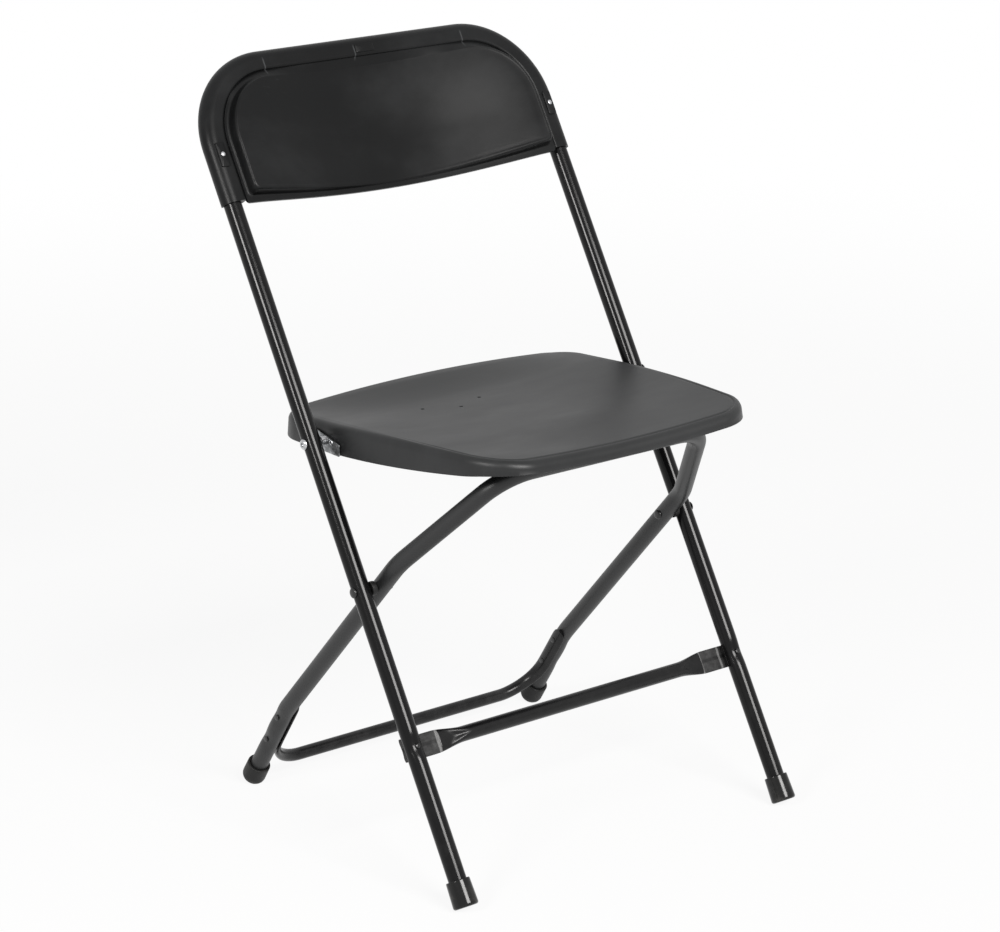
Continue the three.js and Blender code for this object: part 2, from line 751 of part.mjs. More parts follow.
function backrest() {
  const outer = tubeRadius + fitGap + rimWall;
  const joined = [backRim(), backPanel()];
  const cut = [];
  for (const [, side] of bothSides) {
    const depth = rimWall + bossProud;
    const boss = new THREE.BoxGeometry(2 * bossHalfWidth, depth, 2 * bossHalfHeight);
    boss.translate(side * frontHalfWidth, -outer - bossProud + depth / 2, backRivetAlong);
    joined.push(boss);
    const place = new THREE.Vector3(side * frontHalfWidth, 0, backRivetAlong);
    cut.push(drill(rivetRadius + fitGap, place, Y, -cutOverrun, 0));
  }
  for (const place of [-backRibSpacing, 0, backRibSpacing]) {
    const foot = panelBottomAlong + backRibFoot;
    const head = frameTopAlong - backRibHead;
    const depth = panelThickness / 2 + backRibDepth;
    const rib = new THREE.BoxGeometry(backRibThickness, depth, head - foot);
    const front = panelThickness / 2 - panelForward(place);
    rib.translate(place, front + depth / 2, (foot + head) / 2);
    joined.push(rib);
  }
  const channel = roundBar(carried(framePath(0, rimBottomAlong - cutOverrun), X), tubeRadius + fitGap);
  return joinAndCut(joined, [channel, ...cut]);
}

// Rear frame. Its own axes start at the leg pivot: X across, Y to the rear, Z up the legs.

// A place on a leg above (or, if negative, below) its pivot, before any bend.
function onLeg(side, up) {
  return new THREE.Vector3(side * (rearHalfWidth - up * splay), 0, up);
}

// A place on the lower leg's line, measured down from the knee.
function belowKnee(side, down) {
  const direction = new THREE.Vector3(side * splay, -Math.sin(knee), -Math.cos(knee));
  return onLeg(side, -kneeBelowPivot).addScaledVector(direction, down);
}

function crossCorner(side) {
  const half = rearHalfWidth - (crossAbovePivot - neckAbovePivot) * Math.tan(neck);
  return new THREE.Vector3(side * half, 0, crossAbovePivot);
}

function rearPath() {
  const footEnd = kneeToFloor - tubeStart(footLean, rearCapBottomRadius, rearCapRounding);
  const half = (side) => [
    [belowKnee(side, footEnd), 0],
    [onLeg(side, -kneeBelowPivot), kneeRadius],
    [onLeg(side, neckAbovePivot), neckRadius],
    [crossCorner(side), crossCornerRadius],
  ];
  return bentPath([...half(-1), ...half(1).reverse()]);
}

function rearFrameTube() {
  const tube = steelTube(carried(rearPath(), X), tubeRadius, tubeWall);
  const holes = bothSides.flatMap(([, side]) => {
    const half = tubeRadius + fitGap;
    const pin = drill(pinRadius + fitGap, onLeg(side, 0), X, -half, half);
    const rivets = rearRivetsBelowKnee.map((down) =>
      drill(rivetRadius + fitGap, belowKnee(side, down), X, -half, half),
    );
    return [pin, ...rivets];
  });
  return joinAndCut([tube], holes);
}

const cupInner = tubeRadius + 2 * fitGap; // from the leg's centre
const cupOuter = cupInner + cupThickness;
const rearBarInset = (cupInner + cupOuter) / 2; // leg centre to bar centre

// Cup round the leg. X runs inwards from the bar's centre and Y forwards.
function cupSection(inset) {
  const middle = THREE.MathUtils.degToRad(cupForwardDegrees);
  const half = THREE.MathUtils.degToRad(cupHalfDegrees) - inset / rearBarInset;
  const unit = circle(1);
  const highest = Math.max(...unit.map((p) => p.y));
  return unit.map((p) => {
    const angle = middle + half * (p.y / highest);
    const radius = p.x > 0 ? cupOuter - inset : cupInner + inset;
    return new THREE.Vector2(radius * Math.cos(angle) - rearBarInset, radius * Math.sin(angle));
  });
}

function rearCrossbar() {
  const inwards = (side, place) => place.addScaledVector(X, -side * rearBarInset);
  const stations = bentPath([
    [inwards(-1, belowKnee(-1, rearBarTipBelowKnee)), 0],
    [inwards(-1, belowKnee(-1, rearBarBelowKnee)), rearBarCornerRadius],
    [inwards(1, belowKnee(1, rearBarBelowKnee)), rearBarCornerRadius],
    [inwards(1, belowKnee(1, rearBarTipBelowKnee)), 0],
  ]);
  // Extra stations keep the cups straight up to where they turn into round bar.
  const cupEnd = stations[0].point.clone().addScaledVector(stations[0].along, rearBarCupLength);
  const mirrored = cupEnd.clone().setX(-cupEnd.x);
  stations.splice(1, 0, { point: cupEnd, along: stations[0].along.clone() });
  stations.splice(-1, 0, { point: mirrored, along: stations[stations.length - 1].along.clone() });
  const frames = carried(stations, X);
  const bar = pressedBar(frames, rearBarRadius, cupSection, rearBarCupLength, rearBarCupBlend);
  const holes = bothSides.flatMap(([, side]) =>
    rearRivetsBelowKnee.map((down) => {
      const out = new THREE.Vector3(side, 0, 0);
      return drill(rivetRadius + fitGap, belowKnee(side, down), out, -cupOuter - fitGap, 0);
    }),
  );
  return joinAndCut([bar], holes);
}

function rearFramePieces() {
  const pieces = [mesh("rear_frame_tube", rearFrameTube(), rearPaint)];
  pieces.push(mesh("rear_crossbar", rearCrossbar(), barPaint));
  for (const [word, side] of bothSides) {
    const out = new THREE.Vector3(side, 0, 0);
    const radii = [rearCapTopRadius, rearCapBottomRadius];
    const cap = footCap(footLean, radii, rearCapHeight, rearCapRounding);
    cap.rotateZ(Math.PI).rotateX(-knee); // the leg leans the other way from a front leg
    const floorPoint = belowKnee(side, kneeToFloor);
    const middle = belowKnee(side, kneeToFloor - rearCapHeight / 2);
    cap.translate(middle.x, floorPoint.y, floorPoint.z);
    pieces.push(mesh("rear_foot_cap_" + word, cap, rubber));
    rearRivetsBelowKnee.forEach((down, i) => {
      const place = belowKnee(side, down);
      const inner = -cupOuter;
      const name = "rear_crossbar_rivet_" + word + "_" + (i + 1);
      pieces.push(mesh(name, rivet(place, out, inner, tubeRadius), blackRivet));
    });
  }
  return pieces;
}

// Seat. Its own axes start at the seat pivot: X across, Y to the rear, Z up.

// Cross tube centre as seen from the seat pivot in the open chair: [rearwards, upwards].
const pivotSpan = seatPivotAlong - legPivotAlong;
const crossBack = -crossAbovePivot * Math.sin(rearLean) - pivotSpan * Math.sin(frontLean);
const crossUp = crossAbovePivot * Math.cos(rearLean) - pivotSpan * Math.cos(frontLean);

// Sides that close in towards the front and a rear edge that swells out.
function seatPlan(x, y) {
  const close = THREE.MathUtils.clamp((-seatTaperStart - y) / (seatReach - seatTaperStart), 0, 1);
  const narrow = THREE.MathUtils.lerp(1, seatFrontHalfWidth / seatHalfWidth, close ** seatTaperPower);
  const rear = THREE.MathUtils.smoothstep(y, seatTail - rearCrownRun, seatTail);
  return [x * narrow, y + seatBackBow * rear * (1 - (x / seatHalfWidth) ** 2)];
}

// Height of the seat's edge above the pivot, carried across to the middle.
function crest(x, y) {
  const slope = -y * Math.tan(THREE.MathUtils.degToRad(seatSlopeDegrees));
  const droop = seatFrontDroop * (Math.min(0, y) / seatReach) ** 2;
  const middle = 1 - Math.min(1, (x / seatFrontHalfWidth) ** 2);
  const crown = seatRearCrown * THREE.MathUtils.smoothstep(y, seatTail - rearCrownRun, seatTail);
  const dip = seatFrontDip * THREE.MathUtils.smoothstep(-y, seatReach - frontDipRun, seatReach);
  return seatCrestHeight + slope - droop + middle * (crown - dip);
}

function waterfall(y) {
  const share = Math.max(0, (waterfallRun - seatReach - y) / waterfallRun);
  return waterfallDrop * share ** 2;
}

function dish(x, y) {
  const across = 1 - Math.min(1, Math.abs(x) / (seatHalfWidth - seatDishInset)) ** seatDishPower;
  const middle = (seatTail - seatReach) / 2;
  const reach = (seatTail + seatReach) / 2 - seatDishInset;
  const lengthwise = 1 - Math.min(1, Math.abs(y - middle) / reach) ** seatDishPower;
  return seatDishDepth * across * lengthwise;
}

function seatTop(x, y) {
  return crest(x, y) - waterfall(y) - dish(x, y);
}

function skirtFoot(x, y) {
  const share = THREE.MathUtils.clamp((seatTail - y) / (seatTail + seatReach), 0, 1);
  const even = THREE.MathUtils.lerp(skirtDepthRear, skirtDepthFront, share);
  return crest(x, y) - even - skirtDepthSwell * 4 * share * (1 - share);
}

function seatRing(inset, height) {
  const size = {
    half: seatHalfWidth - inset,
    far: seatTail - inset,
    near: inset - seatReach,
    farRadius: seatBackRadius - inset,
    nearRadius: seatFrontRadius - inset,
  };
  return panRing(size, seatColumns, seatRows, (u, v) => {
    const [x, y] = seatPlan(u, v);
    return new THREE.Vector3(x, y, height(x, y));
  });
}

// Pan with a rounded edge, a drafted skirt and an even wall.
function seatShell() {
  const below = (drop) => (x, y) => seatTop(x, y) - drop;
  const rounding = Array.from({ length: seatEdgeSteps }, (unused, i) => {
    const angle = (Math.PI / 2) * (i / seatEdgeSteps);
    const inset = skirtDraft + seatEdgeRounding * (1 - Math.cos(angle));
    return seatRing(inset, below(seatEdgeRounding * (1 - Math.sin(angle))));
  });
  const innerWall = skirtDraft + seatWall;
  const innerEdge = seatInnerEdgeShares.map(([inwards, down]) =>
    seatRing(innerWall + seatEdgeRounding * inwards, below(seatWall + seatEdgeRounding * down)),
  );
  const rings = [
    seatRing(seatDishInset, below(seatWall)),
    ...innerEdge,
    seatRing(seatWall, skirtFoot),
    seatRing(0, skirtFoot),
    ...rounding,
    seatRing(skirtDraft + seatEdgeRounding, below(0)),
    seatRing(seatDishInset, below(0)),
  ];
  const settle = (drop) => (p) => p.setZ(seatTop(p.x, p.y) - drop);
  return pan(rings, seatRows, settle(seatWall), settle(0));
}

// The space inside the shell that ribs may fill, its top halfway into the wall.
function ribSpace(foot) {
  const inset = seatWall / 2;
  const mid = (x, y) => seatTop(x, y) - seatWall / 2;
  const shoulder = skirtDraft + seatWall / 2;
  const rings = [
    seatRing(seatDishInset, foot),
    seatRing(inset, foot),
    seatRing(shoulder, (x, y) => mid(x, y) - seatEdgeRounding / 2),
    seatRing(seatDishInset, mid),
  ];
  const settleFoot = (p) => p.setZ(foot(p.x, p.y));
  const settleTop = (p) => p.setZ(mid(p.x, p.y));
  return toSolid(pan(rings, seatRows, settleFoot, settleTop));
}

function ribBoxes() {
  const length = seatReach + seatTail;
  const boxes = [];
  for (let i = 0; i < ribCount; i += 1) {
    const rib = new THREE.BoxGeometry(ribThickness, length, ribStock);
    rib.translate((i - (ribCount - 1) / 2) * ribSpacing, (seatTail - seatReach) / 2, 0);
    boxes.push(rib);
  }
  for (let i = 0; i < crossRibCount; i += 1) {
    const rib = new THREE.BoxGeometry((ribCount - 1) * ribSpacing, ribThickness, ribStock);
    rib.translate(0, crossRibStart + i * crossRibSpacing, 0);
    boxes.push(rib);
  }
  return boxes;
}

// Blocks on the ribs that sit astride the cross tube of the open chair.
function saddleBoxes() {
  const reach = (ribCount - 1) / 2;
  return [-reach, -reach / 2, reach / 2, reach].map((step) => {
    const block = new THREE.BoxGeometry(saddleThickness, 2 * saddleHalfLength, ribStock);
    block.translate(step * ribSpacing, crossBack, 0);
    return block;
  });
}

function crossTubeClearance() {
  const place = new THREE.Vector3(0, crossBack, crossUp);
  const radius = (tubeRadius + fitGap) / Math.cos(Math.PI / saddleSides);
  const half = crossCorner(1).x;
  return drill(radius, place, X, -half, half, saddleSides);
}

// The necks of the folded rear frame, in the seat's own axes, a little oversize.
function foldedNecks() {
  const rearPlace = new THREE.Matrix4().makeRotationX(frontLean + rearLean - rearFold);
  rearPlace.setPosition(0, 0, -pivotSpan);
  const toOpenSeat = new THREE.Matrix4().makeRotationX(-frontLean);
  const turnBack = new THREE.Matrix4().makeRotationX(seatFold);
  const intoSeat = turnBack.multiply(toOpenSeat).multiply(rearPlace);
  return bothSides.map(([, side]) => {
    const path = bentPath([
      [onLeg(side, 0), 0],
      [onLeg(side, neckAbovePivot), neckRadius],
      [crossCorner(side), 0],
    ]);
    return roundBar(carried(path, X), tubeRadius + reliefGap).applyMatrix4(intoSeat);
  });
}

function seat() {
  const within = (boxes, space) => boxes.map((box) => fromSolid(toSolid(box).intersect(space)));
  const ribs = within(ribBoxes(), ribSpace((x, y) => skirtFoot(x, y) + ribShy));
  const saddles = within(saddleBoxes(), ribSpace(() => crossUp + saddleRise));
  const cut = [crossTubeClearance(), ...foldedNecks()];
  for (let i = 0; i < drainCount; i += 1) {
    const place = new THREE.Vector3((i - (drainCount - 1) / 2) * drainSpacing, -(i % 2) * drainStep, 0);
    cut.push(drill(drainRadius, place, Z, -cutOverrun, cutOverrun));
  }
  for (const [, side] of bothSides) {
    const out = new THREE.Vector3(side, 0, 0);
    const reach = [seatHalfWidth - seatWall - cutOverrun, seatHalfWidth + cutOverrun];
    cut.push(drill(pinRadius + fitGap, new THREE.Vector3(), out, ...reach));
    const pocket = [seatInnerFace - seatTailPocket, seatInnerFace];
    cut.push(drill(seatTailRadius + fitGap, new THREE.Vector3(), out, ...pocket));
    for (const y of [-bracketRivetOffset, bracketRivetOffset]) {
      const place = new THREE.Vector3(0, y, -bracketRivetDrop);
      cut.push(drill(rivetRadius + fitGap, place, out, ...reach));
    }
  }
  return joinAndCut([seatShell(), ...ribs, ...saddles], cut);
}

// Pressed plate on the side of the skirt: a rounded oblong with three holes.
function seatBracket(side) {
  const top = bracketTop;
  const bottom = -bracketBottom;
  const shape = new THREE.Shape();
  const r = bracketCornerRadius;
  shape.moveTo(-bracketHalfLength + r, bottom);
  shape.lineTo(bracketHalfLength - r, bottom);
  shape.absarc(bracketHalfLength - r, bottom + r, r, -Math.PI / 2, 0);
  shape.lineTo(bracketHalfLength, top - r);
  shape.absarc(bracketHalfLength - r, top - r, r, 0, Math.PI / 2);
  shape.lineTo(-bracketHalfLength + r, top);
  shape.absarc(-bracketHalfLength + r, top - r, r, Math.PI / 2, Math.PI);
  shape.lineTo(-bracketHalfLength, bottom + r);
  shape.absarc(-bracketHalfLength + r, bottom + r, r, Math.PI, 1.5 * Math.PI);
  const round = (along, up, radius) => {
    const hole = new THREE.Path();
    hole.absarc(along, up, radius, 0, 2 * Math.PI, true);
    return hole;
  };
  shape.holes = [
    round(-bracketRivetOffset, -bracketRivetDrop, rivetRadius + fitGap),
    round(0, 0, pinRadius + fitGap),
    round(bracketRivetOffset, -bracketRivetDrop, rivetRadius + fitGap),
  ];
  const plate = new THREE.ExtrudeGeometry(shape, {
    depth: bracketThickness,
    bevelEnabled: false,
    curveSegments: plateCornerSteps,
  });
  // Shape X runs to the rear, shape Y upwards, and the plate thickens outwards.
  const basis = new THREE.Matrix4().makeBasis(Y, Z, X);
  plate.applyMatrix4(basis);
  plate.translate(side > 0 ? bracketOuter - bracketThickness : -bracketOuter, 0, 0);
  return plate;
}

function seatPieces() {
  const pieces = [mesh("seat_shell", seat(), seatPlastic)];
  for (const [word, side] of bothSides) {
    const out = new THREE.Vector3(side, 0, 0);
    pieces.push(mesh("seat_bracket_" + word, seatBracket(side), platedSteel));
    [["front", -1], ["rear", 1]].forEach(([end, sign]) => {
      const place = new THREE.Vector3(0, sign * bracketRivetOffset, -bracketRivetDrop);
      const made = rivet(place, out, seatInnerFace, bracketOuter);
      pieces.push(mesh("seat_bracket_rivet_" + word + "_" + end, made, brightSteel));
    });
  }
  return pieces;
}

// Assembly: the seat and the rear frame hang in the leaning front frame.
const chair = new THREE.Group();

const frontFrame = new THREE.Group();
frontFrame.rotation.x = -frontLean;
frontFrame.add(...frontFramePieces(), mesh("backrest_shell", backrest(), backPlastic));
chair.add(frontFrame);

const rearFrame = new THREE.Group();
rearFrame.position.copy(legPivot);
rearFrame.rotation.x = frontLean + rearLean;
rearFrame.add(...rearFramePieces());
frontFrame.add(rearFrame);

const seatGroup = new THREE.Group();
seatGroup.position.copy(seatPivot);
seatGroup.rotation.x = frontLean;
seatGroup.add(...seatPieces());
frontFrame.add(seatGroup);

// The origin is on the floor under the middle of the chair.
chair.updateMatrixWorld(true);
const bounds = new THREE.Box3().setFromObject(chair, true);
chair.position.y = -(bounds.min.y + bounds.max.y) / 2;

export default chair;
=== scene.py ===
# Folding chair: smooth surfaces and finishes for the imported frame.
# Sizes are in millimetres until inRow() turns them into metres in the row frame.
import math

import bmesh
import bpy
import numpy as np
from mathutils import Matrix


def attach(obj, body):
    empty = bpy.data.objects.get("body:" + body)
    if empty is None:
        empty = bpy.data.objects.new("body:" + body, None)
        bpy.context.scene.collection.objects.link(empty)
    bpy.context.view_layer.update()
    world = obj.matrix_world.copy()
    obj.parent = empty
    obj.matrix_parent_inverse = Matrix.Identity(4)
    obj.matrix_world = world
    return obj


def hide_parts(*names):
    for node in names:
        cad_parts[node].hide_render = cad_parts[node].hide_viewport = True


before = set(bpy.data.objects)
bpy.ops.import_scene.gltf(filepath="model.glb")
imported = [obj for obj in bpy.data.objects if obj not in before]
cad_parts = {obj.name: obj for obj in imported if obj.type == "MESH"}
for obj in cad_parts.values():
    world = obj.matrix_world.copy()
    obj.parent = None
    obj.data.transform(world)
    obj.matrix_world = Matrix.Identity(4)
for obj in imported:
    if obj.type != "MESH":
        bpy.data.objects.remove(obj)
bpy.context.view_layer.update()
print("frame loaded with", len(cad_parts), "solids")

# Where the three bodies stand: lean about X in degrees, and the place of their own origin
bodyPlaces = {
    "front_frame": (-30.9, (0, -232.911, 0)),
    "rear_frame": (42.7, (0, -59.334, 290.026)),
    "seat": (0, (0, 22.319, 426.458)),
}
bothSides = (("left", -1), ("right", 1))
xAxis, yAxis, zAxis = np.eye(3)


# y' = y cos - z sin, z' = y sin + z cos, then moved to the body's origin and scaled to metres.
def inRow(points, body):
    lean, origin = bodyPlaces[body]
    c, s = math.cos(math.radians(lean)), math.sin(math.radians(lean))
    x, y, z = points[..., 0], points[..., 1], points[..., 2]
    return (np.stack([x, y * c - z * s, y * s + z * c], -1) + origin) / 1000


# 0 below `low`, 1 above `high`, and t^2 * (3 - 2t) of the share t between them.
def smoothstep(x, low, high):
    t = np.clip((x - low) / (high - low), 0, 1)
    return t * t * (3 - 2 * t)


# From a at share 0 to b at share 1: a + (b - a) * share.
def mix(a, b, share):
    return a + (b - a) * share


# Quads between neighbours of a grid whose points are numbered row by row.
def gridFaces(rows, columns, start, wrapRows, wrapColumns):
    r = np.arange(rows if wrapRows else rows - 1)
    c = np.arange(columns if wrapColumns else columns - 1)
    a, b = np.meshgrid(r, c, indexing="ij")
    nextA, nextB = (a + 1) % rows, (b + 1) % columns
    corners = [a * columns + b, a * columns + nextB, nextA * columns + nextB, nextA * columns + b]
    return np.stack(corners, -1).reshape(-1, 4) + start


# Joins grids of points into one mesh, cut flat at the floor. The rows of a grid are closed rings, unless
# it comes as (points, wrap rows, wrap columns).
def meshFrom(name, body, grids, sharpDegrees):
    places, faces, count = [], [], 0
    for grid in grids:
        points, wrapRows, wrapColumns = grid if isinstance(grid, tuple) else (grid, False, True)
        rows, columns = points.shape[:2]
        faces.append(gridFaces(rows, columns, count, wrapRows, wrapColumns))
        places.append(inRow(points.reshape(-1, 3), body))
        count += rows * columns
    places = np.concatenate(places)
    places[:, 2] = np.maximum(places[:, 2], 0)
    mesh = bpy.data.meshes.new(name)
    mesh.from_pydata(places.tolist(), [], np.concatenate(faces).tolist())
    shape = bmesh.new()
    shape.from_mesh(mesh)
    bmesh.ops.remove_doubles(shape, verts=shape.verts, dist=2e-6)
    bmesh.ops.dissolve_degenerate(shape, edges=shape.edges, dist=1e-7)
    bmesh.ops.recalc_face_normals(shape, faces=shape.faces)
    shape.to_mesh(mesh)
    shape.free()
    mesh.shade_smooth()
    mesh.set_sharp_from_angle(angle=math.radians(sharpDegrees))
    return mesh


# Puts a mesh, lamp or camera into the scene.
def addObject(name, data):
    made = bpy.data.objects.new(name, data)
    bpy.context.scene.collection.objects.link(made)
    return made


# A finished piece on its body, in the finish of its slot, in place of one node of the frame.
def makePiece(name, body, grids, slotName, standsFor, sharpDegrees=38):
    piece = addObject(name, meshFrom(name, body, grids, sharpDegrees))
    piece.data.materials.append(finishes[slotName])
    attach(piece, body)
    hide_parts(standsFor)
    return piece


# A row of points that all sit on one place closes the end of a grid.
def pole(place, columns):
    return np.broadcast_to(np.asarray(place, float), (1, columns, 3))


# Points (cos, sin) evenly round a circle of radius 1.
def circle(sides):
    angle = 2 * np.pi * np.arange(sides) / sides
    return np.stack([np.cos(angle), np.sin(angle)], -1)


# A profile of [radius, distance] turned about a line: place + direction * distance + radius * circle.
def turned(profile, place, direction, sides=48):
    profile = np.asarray(profile, float)
    direction = np.asarray(direction, float) / np.linalg.norm(direction)
    side = np.cross(direction, yAxis if abs(direction[1]) < 0.9 else zAxis)
    side /= np.linalg.norm(side)
    over = np.cross(direction, side)
    ring = circle(sides) @ np.stack([side, over])
    line = np.asarray(place, float) + profile[:, 1:2] * direction
    return line[:, None] + profile[:, 0, None, None] * ring


# Corner of a turned profile or section: centre + radius * (cos, sin) between two angles in degrees.
def arc(centre, radius, start, end, steps):
    angle = np.radians(np.linspace(start, end, steps + 1))
    radius = np.broadcast_to(radius, 2)
    return np.asarray(centre) + radius * np.stack([np.cos(angle), np.sin(angle)], -1)


# Straight runs and round bends of a path whose corners are (place, bend radius).
def pathPieces(corners):
    places = [np.asarray(place, float) for place, radius in corners]
    pieces, start = [], places[0]
    for i in range(1, len(places)):
        ahead = places[i] - places[i - 1]
        ahead /= np.linalg.norm(ahead)
        end, bend = places[i], None
        if i < len(places) - 1:
            after = places[i + 1] - places[i]
            after /= np.linalg.norm(after)
            axis = np.cross(ahead, after)
            turn = math.atan2(np.linalg.norm(axis), ahead @ after)
            axis /= np.linalg.norm(axis)
            radius = corners[i][1]
            end = places[i] - ahead * radius * math.tan(turn / 2)
            bend = (end, ahead, axis, radius, radius * turn)
        pieces.append((start, ahead, None, 0, np.linalg.norm(end - start)))
        if bend:
            pieces.append(bend)
            start = places[i] + after * radius * math.tan(turn / 2)
    return pieces, sum(piece[4] for piece in pieces)


# Place and direction at distances along a path. On a run: start + ahead * t. In a bend of radius r:
# centre - toCentre * r cos(t / r) + ahead * r sin(t / r), where toCentre = axis x ahead.
def alongPath(pieces, distances):
    place, direction = np.zeros((2, len(distances), 3))
    run = 0
    for start, ahead, axis, radius, length in pieces:
        here = (distances >= run - 1e-6) & (distances <= run + length + 1e-6)
        t = (distances[here] - run)[:, None]
        if radius:
            toCentre = np.cross(axis, ahead)
            c, s = np.cos(t / radius), np.sin(t / radius)
            place[here] = start + toCentre * radius * (1 - c) + ahead * radius * s
            direction[here] = ahead * c + toCentre * s
        else:
            place[here] = start + ahead * t
            direction[here] = ahead
        run += length
    return place, direction


# Each side vector is the one before it, made square to the path again, so that nothing twists.
def carried(direction, firstSide):
    sides = []
    side = np.asarray(firstSide, float)
    for ahead in direction:
        side = side - (side @ ahead) * ahead
        side = side / np.linalg.norm(side)
        sides.append(side)
    sides = np.array(sides)
    return sides, np.cross(direction, sides)


# A section carried along a path: place + side * x + over * y.
def carry(place, side, over, section):
    section = np.broadcast_to(section, (len(place), *section.shape[-2:]))
    return place[:, None] + side[:, None] * section[..., :1] + over[:, None] * section[..., 1:]


# Closes a grid of rings with the middle of its first ring and of its last.
def closedEnds(grid):
    first, last = grid[0].mean(0), grid[-1].mean(0)
    columns = grid.shape[1]
    return np.concatenate([pole(first, columns), grid, pole(last, columns)])


# Even distances along a path, with closer ones round the places in `fine`.
def stepsAlong(total, spacing, fine=(), reach=16, fineSpacing=1.2):
    sets = [np.linspace(0, total, int(total / spacing) + 1)]
    sets += [np.arange(max(0, at - reach), min(total, at + reach), fineSpacing) for at in fine]
    distances = np.unique(np.round(np.concatenate(sets), 3))
    keep = np.append(np.diff(distances) > 0.3, True)
    return np.minimum(distances[keep], total)


# Anticlockwise outline: four quarter circles joined by straight sides.
def roundedOutline(half, near, far, nearRadius, farRadius, cornerSteps, sideSteps):
    corners = [
        (half - farRadius, far - farRadius, farRadius, 0),
        (farRadius - half, far - farRadius, farRadius, 90),
        (nearRadius - half, near + nearRadius, nearRadius, 180),
        (half - nearRadius, near + nearRadius, nearRadius, 270),
    ]
    arcs = [arc((x, y), radius, start, start + 90, cornerSteps) for x, y, radius, start in corners]
    share = np.linspace(0, 1, sideSteps + 1)[1:-1, None]
    parts = []
    for i, here in enumerate(arcs):
        parts += [here, mix(here[-1], arcs[(i + 1) % 4][0], share)]
    return np.concatenate(parts)


# A plate with rounded edges: its outline drawn in by each inset at that depth, closed at both faces.
def pad(halfWidth, halfHeight, radius, depthProfile):
    rings = []
    for inset, depth in depthProfile:
        flat = roundedOutline(
            halfWidth - inset, inset - halfHeight, halfHeight - inset, radius - inset, radius - inset, 6, 4
        )
        rings.append(np.stack([flat[:, 0], np.full(len(flat), depth), flat[:, 1]], -1))
    return closedEnds(np.array(rings))


# Wraps a shader socket, so that sums and products of sockets are written as Python expressions.
class Signal:
    def __init__(self, finish, socket):
        self.finish, self.socket = finish, socket

    def math(self, operation, other=None, swapped=False):
        pair = [self] if other is None else [other, self] if swapped else [self, other]
        return self.finish.add("ShaderNodeMath", {"operation": operation}, dict(enumerate(pair)))

    def __add__(self, other):
        return self.math("ADD", other)

    def __sub__(self, other):
        return self.math("SUBTRACT", other)

    def __rsub__(self, other):
        return self.math("SUBTRACT", other, True)

    def __mul__(self, other):
        return self.math("MULTIPLY", other)

    __radd__, __rmul__ = __add__, __mul__


# The nodes of one material or of the world. Every node comes from add(): its settings first, then the
# values or links of its sockets.
class Finish:
    def __init__(self, owner):
        owner.use_nodes = True
        self.owner, self.tree = owner, owner.node_tree
        self.tree.nodes.clear()

    def add(self, kind, settings=None, inputs=None, output=0):
        node = self.tree.nodes.new(kind)
        for key, value in (settings or {}).items():
            setattr(node, key, value)
        for key, value in (inputs or {}).items():
            if isinstance(value, Signal):
                self.tree.links.new(value.socket, node.inputs[key])
            else:
                node.inputs[key].default_value = value
        return Signal(self, node.outputs[output]) if node.outputs else None

    def place(self):
        return self.add("ShaderNodeTexCoord", output="Object")

    def stretched(self, vector, scale, turn=(0, 0, 0)):
        return self.add("ShaderNodeMapping", None, {"Vector": vector, "Scale": scale, "Rotation": turn})

    def noise(self, vector, scale, detail=4, roughness=0.5):
        inputs = {"Vector": vector, "Scale": scale, "Detail": detail, "Roughness": roughness}
        return self.add("ShaderNodeTexNoise", None, inputs)

    def cells(self, vector, scale):
        return self.add("ShaderNodeTexVoronoi", None, {"Vector": vector, "Scale": scale})

    # 0 below `low`, 1 above `high`, or the other way round when low is greater.
    def step(self, value, low, high):
        inputs = {"Value": value, "From Min": low, "From Max": high}
        return self.add("ShaderNodeMapRange", {"interpolation_type": "SMOOTHSTEP"}, inputs)

    def range(self, value, low, high, toLow, toHigh):
        inputs = {"Value": value, "From Min": low, "From Max": high, "To Min": toLow, "To Max": toHigh}
        return self.add("ShaderNodeMapRange", None, inputs)

    # The Mix node's sockets 0, 6 and 7 are its factor and its two colours, and output 2 is a colour.
    def blend(self, factor, first, second):
        return self.add("ShaderNodeMix", {"data_type": "RGBA"}, {0: factor, 6: first, 7: second}, 2)

    def bump(self, height, distance, strength):
        inputs = {"Height": height, "Distance": distance, "Strength": strength}
        return self.add("ShaderNodeBump", None, inputs)

    def split(self, vector, axis):
        return self.add("ShaderNodeSeparateXYZ", None, {0: vector}, axis)

    # 1 where the camera looks, directly or by way of a glossy or clear surface.
    def seen(self):
        names = ("Is Camera Ray", "Is Glossy Ray", "Is Transmission Ray")
        camera, glossy, clear = (self.add("ShaderNodeLightPath", output=name) for name in names)
        return camera.math("MAXIMUM", glossy).math("MAXIMUM", clear)

    def finishWith(self, inputs):
        shader = self.add("ShaderNodeBsdfPrincipled", None, inputs)
        self.add("ShaderNodeOutputMaterial", None, {"Surface": shader})
        return self.owner


# A new material and its Object coordinates. They are in metres, so scales count repeats in a metre.
def newFinish(name):
    finish = Finish(bpy.data.materials.new(name))
    return finish, finish.place()


enamelSizes = {
    "cloud": 9,
    "peel": 420,
    "scratch": (900, 900, 70),
    "scratchTurn": (0.5, 0.2, 0),
    "scuffShare": 0.2,
    "dustBelow": 0.22,
    "dustShare": 0.08,
    "wornRoughness": 0.25,
}


